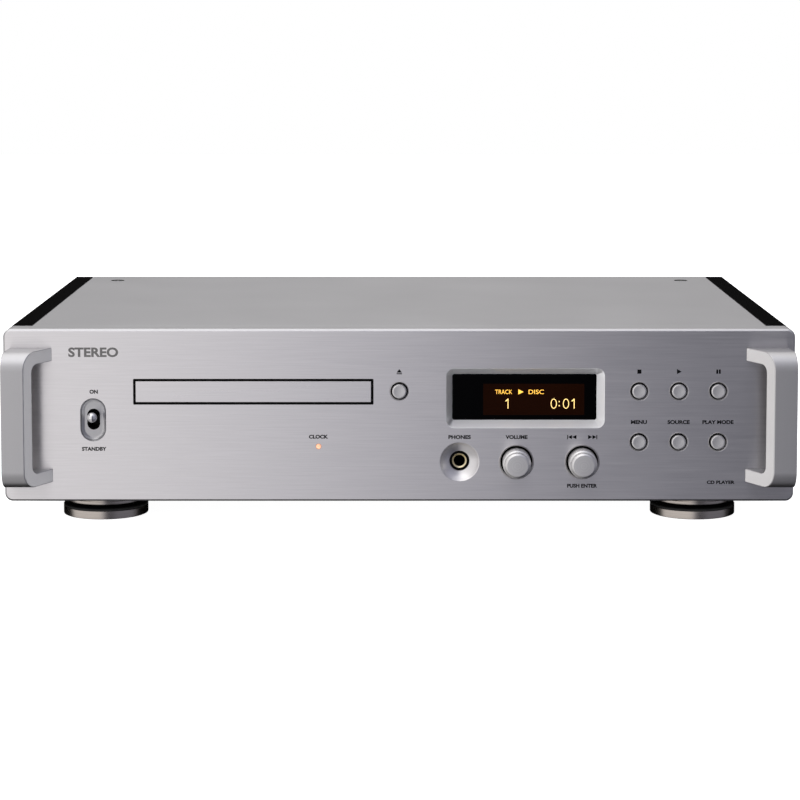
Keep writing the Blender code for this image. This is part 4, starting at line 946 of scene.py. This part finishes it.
def display():
    low, high, mid = span("display_window")
    stand_for(block("window_pane", low, high, GLASS, 0.2, 2), "display_window")
    field_y = low.y - 0.02
    width, height = 57.0, 17.8
    centre = (mid.x + 5.3, mid.z - 1.5)
    outline = rounded_rectangle(centre, (width, height), 0.3, 3)
    field = loft("display_field", [on_front(outline, field_y), on_front(outline, low.y - 0.002)], LIT_FIELD)
    detail(field, "display_window")
    text_y = field_y - INK / 2
    upper, lower = centre[1] + 4.3, centre[1] - 2.4
    for name, text, x, word_width in (("lit_track", "TRACK", -16.95, 9.6), ("lit_disc", "DISC", 1.4, 8.6)):
        lettering(name, text, (centre[0] + x, text_y, upper), (word_width, 2.5), AMBER,
                  "display_window", "amber_lamp", weight=0.0)
    for name, x, outlines in (("lit_track_one", -14.7, DIGIT_ONE), ("lit_minute", 11.3, DIGIT_ZERO),
                              ("lit_colon", 14.4, COLON), ("lit_second_0", 18.2, DIGIT_ZERO),
                              ("lit_second_1", 22.6, DIGIT_ONE)):
        symbol(name, outlines, (centre[0] + x, lower), field_y, YELLOW, "display_window", "amber_lamp")
    symbol("lit_play", [arrow(-1.6, 1.35, 1.45)], (centre[0] - 7.1, upper), field_y, AMBER, "display_window",
           "amber_lamp")


# ---- Disc tray ----

WELL_RADIUS = 60.75
SMALL_WELL_RADIUS = 40.5
WELL_DEPTH = 4.8
SMALL_WELL_DEPTH = 6.0
HUB_SLOT_HALF = 20.5


def disc_tray():
    low, high, _ = span("disc_tray")
    disc = middle("turntable")
    x, y, top = disc.x, disc.y, high.z
    tray = block("tray_body", low, high, TRAY_PLASTIC, 0.5)
    inner = (high.x - low.x) / 2 - 4.0
    under = block("tray_under_tool", (x - inner, low.y + 7.0, low.z - REACH),
                  (x + inner, high.y + REACH, low.z + 2.7), None, 0.3)
    soft = 0.4
    well = [(0.0, REACH), (WELL_RADIUS + soft, REACH), (WELL_RADIUS + soft, 0.0), (WELL_RADIUS, -soft),
            (WELL_RADIUS - 1.2, -WELL_DEPTH), (SMALL_WELL_RADIUS + soft, -WELL_DEPTH),
            (SMALL_WELL_RADIUS, -WELL_DEPTH - soft), (SMALL_WELL_RADIUS - soft, -SMALL_WELL_DEPTH),
            (0.0, -SMALL_WELL_DEPTH)]
    well_tool = turned("well_tool", well, (x, y, top), "up", sides=160)
    half = HUB_SLOT_HALF
    outline = [(x + half, high.y + REACH), (x - half, high.y + REACH)] + arc((x, y), half, 180, 360, 40)
    slot_tool = loft("hub_slot_tool", [[(u, v, low.z - REACH) for u, v in outline],
                                       [(u, v, high.z + REACH) for u, v in outline]])
    cut(tray, under, well_tool, slot_tool)
    stand_for(tray, "disc_tray")
    rack = block("rack_bar", (x + 31.0, y - 40.0, low.z + 0.02),
                 (x + 34.2, high.y - 3.0, low.z + 2.6), TRAY_PLASTIC, 0.15)
    detail(rack, "disc_tray")


# ---- Rear connectors ----

def rear_screw(name, x, z, radius=2.9):
    """Small domed cross-head screw on the rear panel."""
    profile = [(0.0, 1.5), (radius * 0.5, 1.4), (radius * 0.85, 1.0), (radius, 0.4),
               (radius, 0.02), (0.0, 0.02)]
    head = turned(name, profile, (0.0, 0.0, 0.0), "up", SCREW_METAL, 40)
    arm, half, floor_at = 1.5, 0.28, 0.5
    for i, (u, v) in enumerate(((arm, half), (half, arm))):
        cut(head, block(f"{name}_cross_{i}", (-u, -v, floor_at), (u, v, 2.5)))
    head.location = Vector((x, REAR_Y, z)) * MM
    head.rotation_euler = FACING["back"]
    return detail(head, "rear_panel", "dark_nickel")


def mains_inlet():
    low, high, at = span("mains_inlet")
    x, z, face = at.x, at.z, high.y
    flange = rounded_rectangle((x, z), (high.x - low.x, high.z - low.z), 5.0, 8)
    plate = loft("inlet_plate", [on_front(flange, REAR_Y + 0.3), on_front(flange, face)], PLASTIC)
    body = block("inlet_body", (x - 13.5, low.y, z - 10), (x + 13.5, face - 0.2, z + 10))
    socket = [(x - 12, z + 8.2), (x + 12, z + 8.2), (x + 12, z - 4.2),
              (x + 8, z - 8.2), (x - 8, z - 8.2), (x - 12, z - 4.2)]
    tool = loft("inlet_socket_tool", [on_front(socket, face - 17.5), on_front(socket, face + REACH)])
    join(plate, body)
    cut(plate, tool)
    stand_for(plate, "mains_inlet")
    for name, dx, dz in (("live", -7.0, -2.0), ("neutral", 7.0, -2.0), ("earth", 0.0, 3.0)):
        pin = block(f"inlet_pin_{name}", (x + (dx - 1.0), face - 17.4, z + (dz - 2.0)),
                    (x + (dx + 1.0), face - 6.6, z + (dz + 2.0)), STEEL_METAL, 0.3)
        detail(pin, "mains_inlet", "steel")
    for i, dx in enumerate((-20.0, 20.0)):
        screw_head = rear_screw(f"inlet_screw_{i}", x + dx, z, 2.4)
        screw_head.matrix_world.translation.y = face * MM


def balanced_output(node):
    low, high, at = span(node)
    x, z, face = at.x, at.z, high.y
    outline = rounded_rectangle((x, z), (high.x - low.x, high.z - low.z), 3.0, 8)
    rim = [(x + (u - x) * 0.975, z + (v - z) * 0.98) for u, v in outline]
    rings = [on_front(outline, REAR_Y + 0.3), on_front(outline, face - 0.3), on_front(rim, face)]
    plate = loft(node + "_plate", rings, PLASTIC)
    shell = rod(node + "_shell", (x, low.y, z), (x, face - 0.4, z), 11.5, sides=72)
    join(plate, shell)
    mouth = [(0.0, REACH), (9.6, REACH), (9.6, 0.0), (9.2, -0.4), (9.2, -16),
             (0.0, -16)]
    cut(plate, turned(node + "_mouth_tool", mouth, (x, face, z), "back", sides=72))
    stand_for(plate, node)
    for i, (dx, dz) in enumerate(((-3.5, 3.5), (3.5, 3.5), (0.0, -4.5))):
        profile = [(0.0, 10.0), (0.7, 9.9), (1.2, 9.2), (1.2, 0.02), (0.0, 0.02)]
        pin = turned(f"{node}_contact_{i}", profile, (x + dx, face - 16, z + dz), "back", GOLD_METAL, 24)
        detail(pin, node, "gold")
    for i, sign in enumerate((-1, 1)):
        rear_screw(f"{node}_screw_{i}", x + sign * 9.5, z - sign * 12.0, 1.9)


def phono_output(node, insulator):
    _, high, at = span(node)
    reach = high.y - REAR_Y
    barrel = 4.15
    here = (at.x, REAR_Y, at.z)
    profile = [(barrel - 0.9, reach - 0.1), (barrel - 0.3, reach), (barrel, reach - 0.4),
               (barrel, 2.6), (barrel + 0.4, 2.2), (6.0, 2.0), (6.2, 1.6),
               (6.2, 0.3), (4.0, 0.3), (4.0, -9), (3.0, -9),
               (barrel - 0.9, 2.0)]
    stand_for(turned(node + "_barrel", profile, here, "back", GOLD_METAL, 72), node)
    core = [(1.6, reach - 1.0), (3.0, reach - 1.0), (3.0, 2.0), (2.6, -8.5),
            (1.6, -8.5)]
    detail(turned(node + "_insulator", core, here, "back", insulator, 48), node, "black_plastic")


def clock_input():
    _, high, at = span("clock_input")
    reach = high.y - REAR_Y
    here = (at.x, REAR_Y, at.z)
    barrel, hole = 4.8, 3.6
    profile = [(hole + 0.3, reach), (barrel - 0.3, reach), (barrel, reach - 0.3), (barrel, 3.0),
               (5.4, 2.6), (7.0, 2.5), (7.2, 2.3), (7.2, 0.3),
               (4.4, 0.3), (4.4, -9), (hole - 1.0, -9), (hole, 3.0)]
    shell = turned("clock_barrel", profile, here, "back", STEEL_METAL, 72)
    stand_for(shell, "clock_input")
    core = [(0.55, reach - 4.0), (2.3, reach - 4.0), (2.3, -8), (0.55, -8)]
    detail(turned("clock_core", core, here, "back", WHITE_PLASTIC, 40), "clock_input", "black_plastic")
    for i, sign in enumerate((-1, 1)):
        lug = rod(f"clock_lug_{i}", (at.x, REAR_Y + 9.5, at.z + sign * (barrel - 0.3)),
                  (at.x, REAR_Y + 9.5, at.z + sign * (barrel + 1.2)), 1.0, STEEL_METAL, 24)
        detail(bevelled(lug, 0.2), "clock_input")


def rear_words():
    """White legends beside the connectors, read from behind."""
    y = REAR_Y + INK / 2
    words = [("rear_ac", "AC IN", "mains_inlet", 17.0, 11.0),
             ("rear_left", "L", "xlr_left", 19.5, 1.6),
             ("rear_right", "R", "xlr_right", 19.5, 1.8),
             ("rear_phono_left", "L", "phono_left", 10.5, 1.6),
             ("rear_phono_right", "R", "phono_right", 10.5, 1.8),
             ("rear_coaxial", "COAXIAL", "coaxial_output", 10.5, 11.5),
             ("rear_optical", "OPTICAL", "optical_output", 10.5, 11.0),
             ("rear_data", "DATA IN", "data_input", 10.5, 11.5),
             ("rear_clock", "CLOCK IN", "clock_input", 11.5, 13.0)]
    for name, text, node, dz, width in words:
        at = middle(node)
        lettering(name, text, (at.x, y, at.z + dz), (width, 2.1), INK_WHITE,
                  "rear_panel", "white_plastic", back=True, weight=0.030)
    balanced = (middle("xlr_left").x + middle("xlr_right").x) / 2
    phono = (middle("phono_left").x + middle("phono_right").x) / 2
    digital = (middle("coaxial_output").x + middle("optical_output").x) / 2
    z = middle("xlr_left").z
    for name, text, x, dz, width in (("rear_balanced", "BALANCED OUTPUT", balanced, 25.0, 27.0),
                                     ("rear_analogue", "ANALOG OUTPUT", phono, 16.0, 22.0),
                                     ("rear_digital", "DIGITAL OUTPUT", digital, 5.0, 24.0)):
        lettering(name, text, (x, y, z + dz), (width, 2.1), INK_WHITE,
                  "rear_panel", "white_plastic", back=True, weight=0.030)


def rear_panel_screws():
    low, high, mid = span("rear_panel")
    for i, share in enumerate((-0.96, -0.48, 0.0, 0.48, 0.96)):
        for row, z in (("low", low.z + 6), ("high", high.z - 6)):
            rear_screw(f"rear_screw_{row}_{i}", mid.x + share * (high.x - low.x) / 2, z)


# ---- CAD pieces that keep their shape ----

CARRIED = {
    "rear_panel": REAR_PAINT, "bottom_plate": REAR_PAINT,
    "power_switch_body": PLASTIC, "display_module": PLASTIC,
    "control_board": BOARD, "main_board": BOARD,
    "loader_frame": STRUCTURE_STEEL, "loading_motor": STRUCTURE_STEEL,
    "clamp_bridge": COVER_METAL, "spindle_motor": STRUCTURE_STEEL, "power_transformer": WINDING,
    "loading_pinion": GEAR_PLASTIC, "turntable": COVER_METAL, "traverse_base": PLASTIC,
    "guide_rod": STRUCTURE_STEEL, "disc_hub": CHROME_METAL, "pickup_sled": PLASTIC,
    "volume_shaft": STRUCTURE_STEEL, "jog_shaft": STRUCTURE_STEEL,
    "optical_output": PLASTIC, "data_input": STRUCTURE_STEEL,
}


def dress_carried():
    for node, material in CARRIED.items():
        obj = frame["nodes"][node]
        obj.data.materials.clear()
        obj.data.materials.append(material)


# ---- Studio ----

def floor():
    half = 4000.0
    bm = bmesh.new()
    bmesh.ops.create_grid(bm, x_segments=8, y_segments=8, size=half)
    surface = Surface("floor_paper", (0.93, 0.93, 0.93), 0.7, Emission_Color=(1.0, 1.0, 1.0, 1.0),
                      Emission_Strength=0.97)
    fibres = surface.noise(surface.place, 60.0, 3.0)
    surface.tint(fibres, 0.995, 1.005)
    sheet = add_mesh("floor", bm, surface.material)
    sheet.visible_glossy = False


def world():
    """Soft studio: bright from the left and above, falling off to the right and behind."""
    room = bpy.data.worlds.new("studio")
    bpy.context.scene.world = room
    room.use_nodes = True
    graph = Graph(room.node_tree)
    graph.nodes.clear()

    def ramp(value, low, high, start, end):
        return graph.remap(value, (low, high), (start, end), "SMOOTHSTEP")

    def background(colour, level):
        node = graph.nodes.new("ShaderNodeBackground")
        graph.feed(colour, node.inputs["Color"])
        graph.feed(level, node.inputs["Strength"])
        return node.outputs[0]

    x, y, z = graph.split(graph.nodes.new("ShaderNodeTexCoord").outputs["Generated"])
    below = ramp(z, -0.60, -0.22, 0.55, 1.0)
    sides = graph.math("ADD", ramp(x, -0.15, 0.162, 0.97, 0.12), ramp(x, 0.25, 0.65, 0.0, 0.15))
    front = graph.math("MULTIPLY", sides, below)
    behind = graph.math("MULTIPLY", ramp(z, 0.22, 0.70, 0.005, 0.85),
                        ramp(graph.math("ABSOLUTE", x), 0.0, 0.32, 1.45, 0.25))
    is_back = ramp(y, -0.10, 0.25, 0.0, 1.0)
    round_about = graph.math("MULTIPLY_ADD", graph.math("SUBTRACT", behind, front), is_back, front)
    level = graph.math("ADD", round_about, ramp(z, 0.25, 0.85, 0.0, 0.26))
    colour = graph.nodes.new("ShaderNodeMix")
    colour.data_type = "RGBA"
    cool = graph.math("MULTIPLY", ramp(x, -0.18, 0.18, 0.0, 1.0), graph.math("SUBTRACT", 1.0, is_back))
    graph.link(cool, colour.inputs["Factor"])
    colour.inputs["A"].default_value = (1.0, 0.978, 0.982, 1.0)
    colour.inputs["B"].default_value = (0.89, 0.90, 1.08, 1.0)
    choose = graph.nodes.new("ShaderNodeMixShader")
    graph.link(graph.nodes.new("ShaderNodeLightPath").outputs["Is Camera Ray"], choose.inputs["Fac"])
    graph.link(background(colour.outputs["Result"], level), choose.inputs[1])
    graph.link(background((1.0, 1.0, 1.0, 1.0), 1.0), choose.inputs[2])
    graph.link(choose.outputs[0], graph.nodes.new("ShaderNodeOutputWorld").inputs["Surface"])


def softbox(name, at, size, power):
    light = bpy.data.lights.new(name, "AREA")
    light.shape = "RECTANGLE"
    light.size, light.size_y = size
    light.energy = power
    obj = bpy.data.objects.new(name, light)
    obj.location = at
    obj.rotation_euler = (Vector((0.0, 0.0, 0.05)) - Vector(at)).to_track_quat("-Z", "Y").to_euler()
    obj.visible_camera = False
    bpy.context.scene.collection.objects.link(obj)


CAMERA_AWAY = 1357.25            # in front of the panel's face
CAMERA_HEIGHT = 276.35
CAMERA_PITCH = 4.856
CAMERA_LENS = 109.83
CAMERA_SHIFT = -0.20


def camera():
    data = bpy.data.cameras.new("camera")
    data.lens = CAMERA_LENS
    data.sensor_width = 36.0
    data.shift_y = CAMERA_SHIFT
    data.clip_end = 20.0
    obj = bpy.data.objects.new("camera", data)
    obj.location = Vector((0.5, FACE_Y - CAMERA_AWAY, CAMERA_HEIGHT)) * MM
    obj.rotation_euler = (math.radians(90.0 - CAMERA_PITCH), 0.0, 0.0)
    bpy.context.scene.collection.objects.link(obj)
    bpy.context.scene.camera = obj


bpy.context.scene.view_settings.view_transform = "Standard"
camera()
world()
softbox("top_softbox", (-0.3, -0.2, 1.8), (2.4, 2.0), 8.0)
floor()
front_panel()
case()
handle("handle_left", -1)
handle("handle_right", 1)
for side in ("left", "right"):
    foot("front_" + side)
    foot("rear_" + side)
for button_node in BUTTONS:
    button(button_node)
for knob_node in KNOBS:
    knob(knob_node)
headphone_socket()
power_lever()
clock_lamp()
tray_fascia()
panel_words()
panel_signs()
display()
disc_tray()
mains_inlet()
for xlr in ("xlr_left", "xlr_right"):
    balanced_output(xlr)
for phono, core_plastic in (("phono_left", WHITE_PLASTIC), ("phono_right", RED_PLASTIC),
                            ("coaxial_output", ORANGE_PLASTIC)):
    phono_output(phono, core_plastic)
clock_input()
rear_words()
rear_panel_screws()
dress_carried()
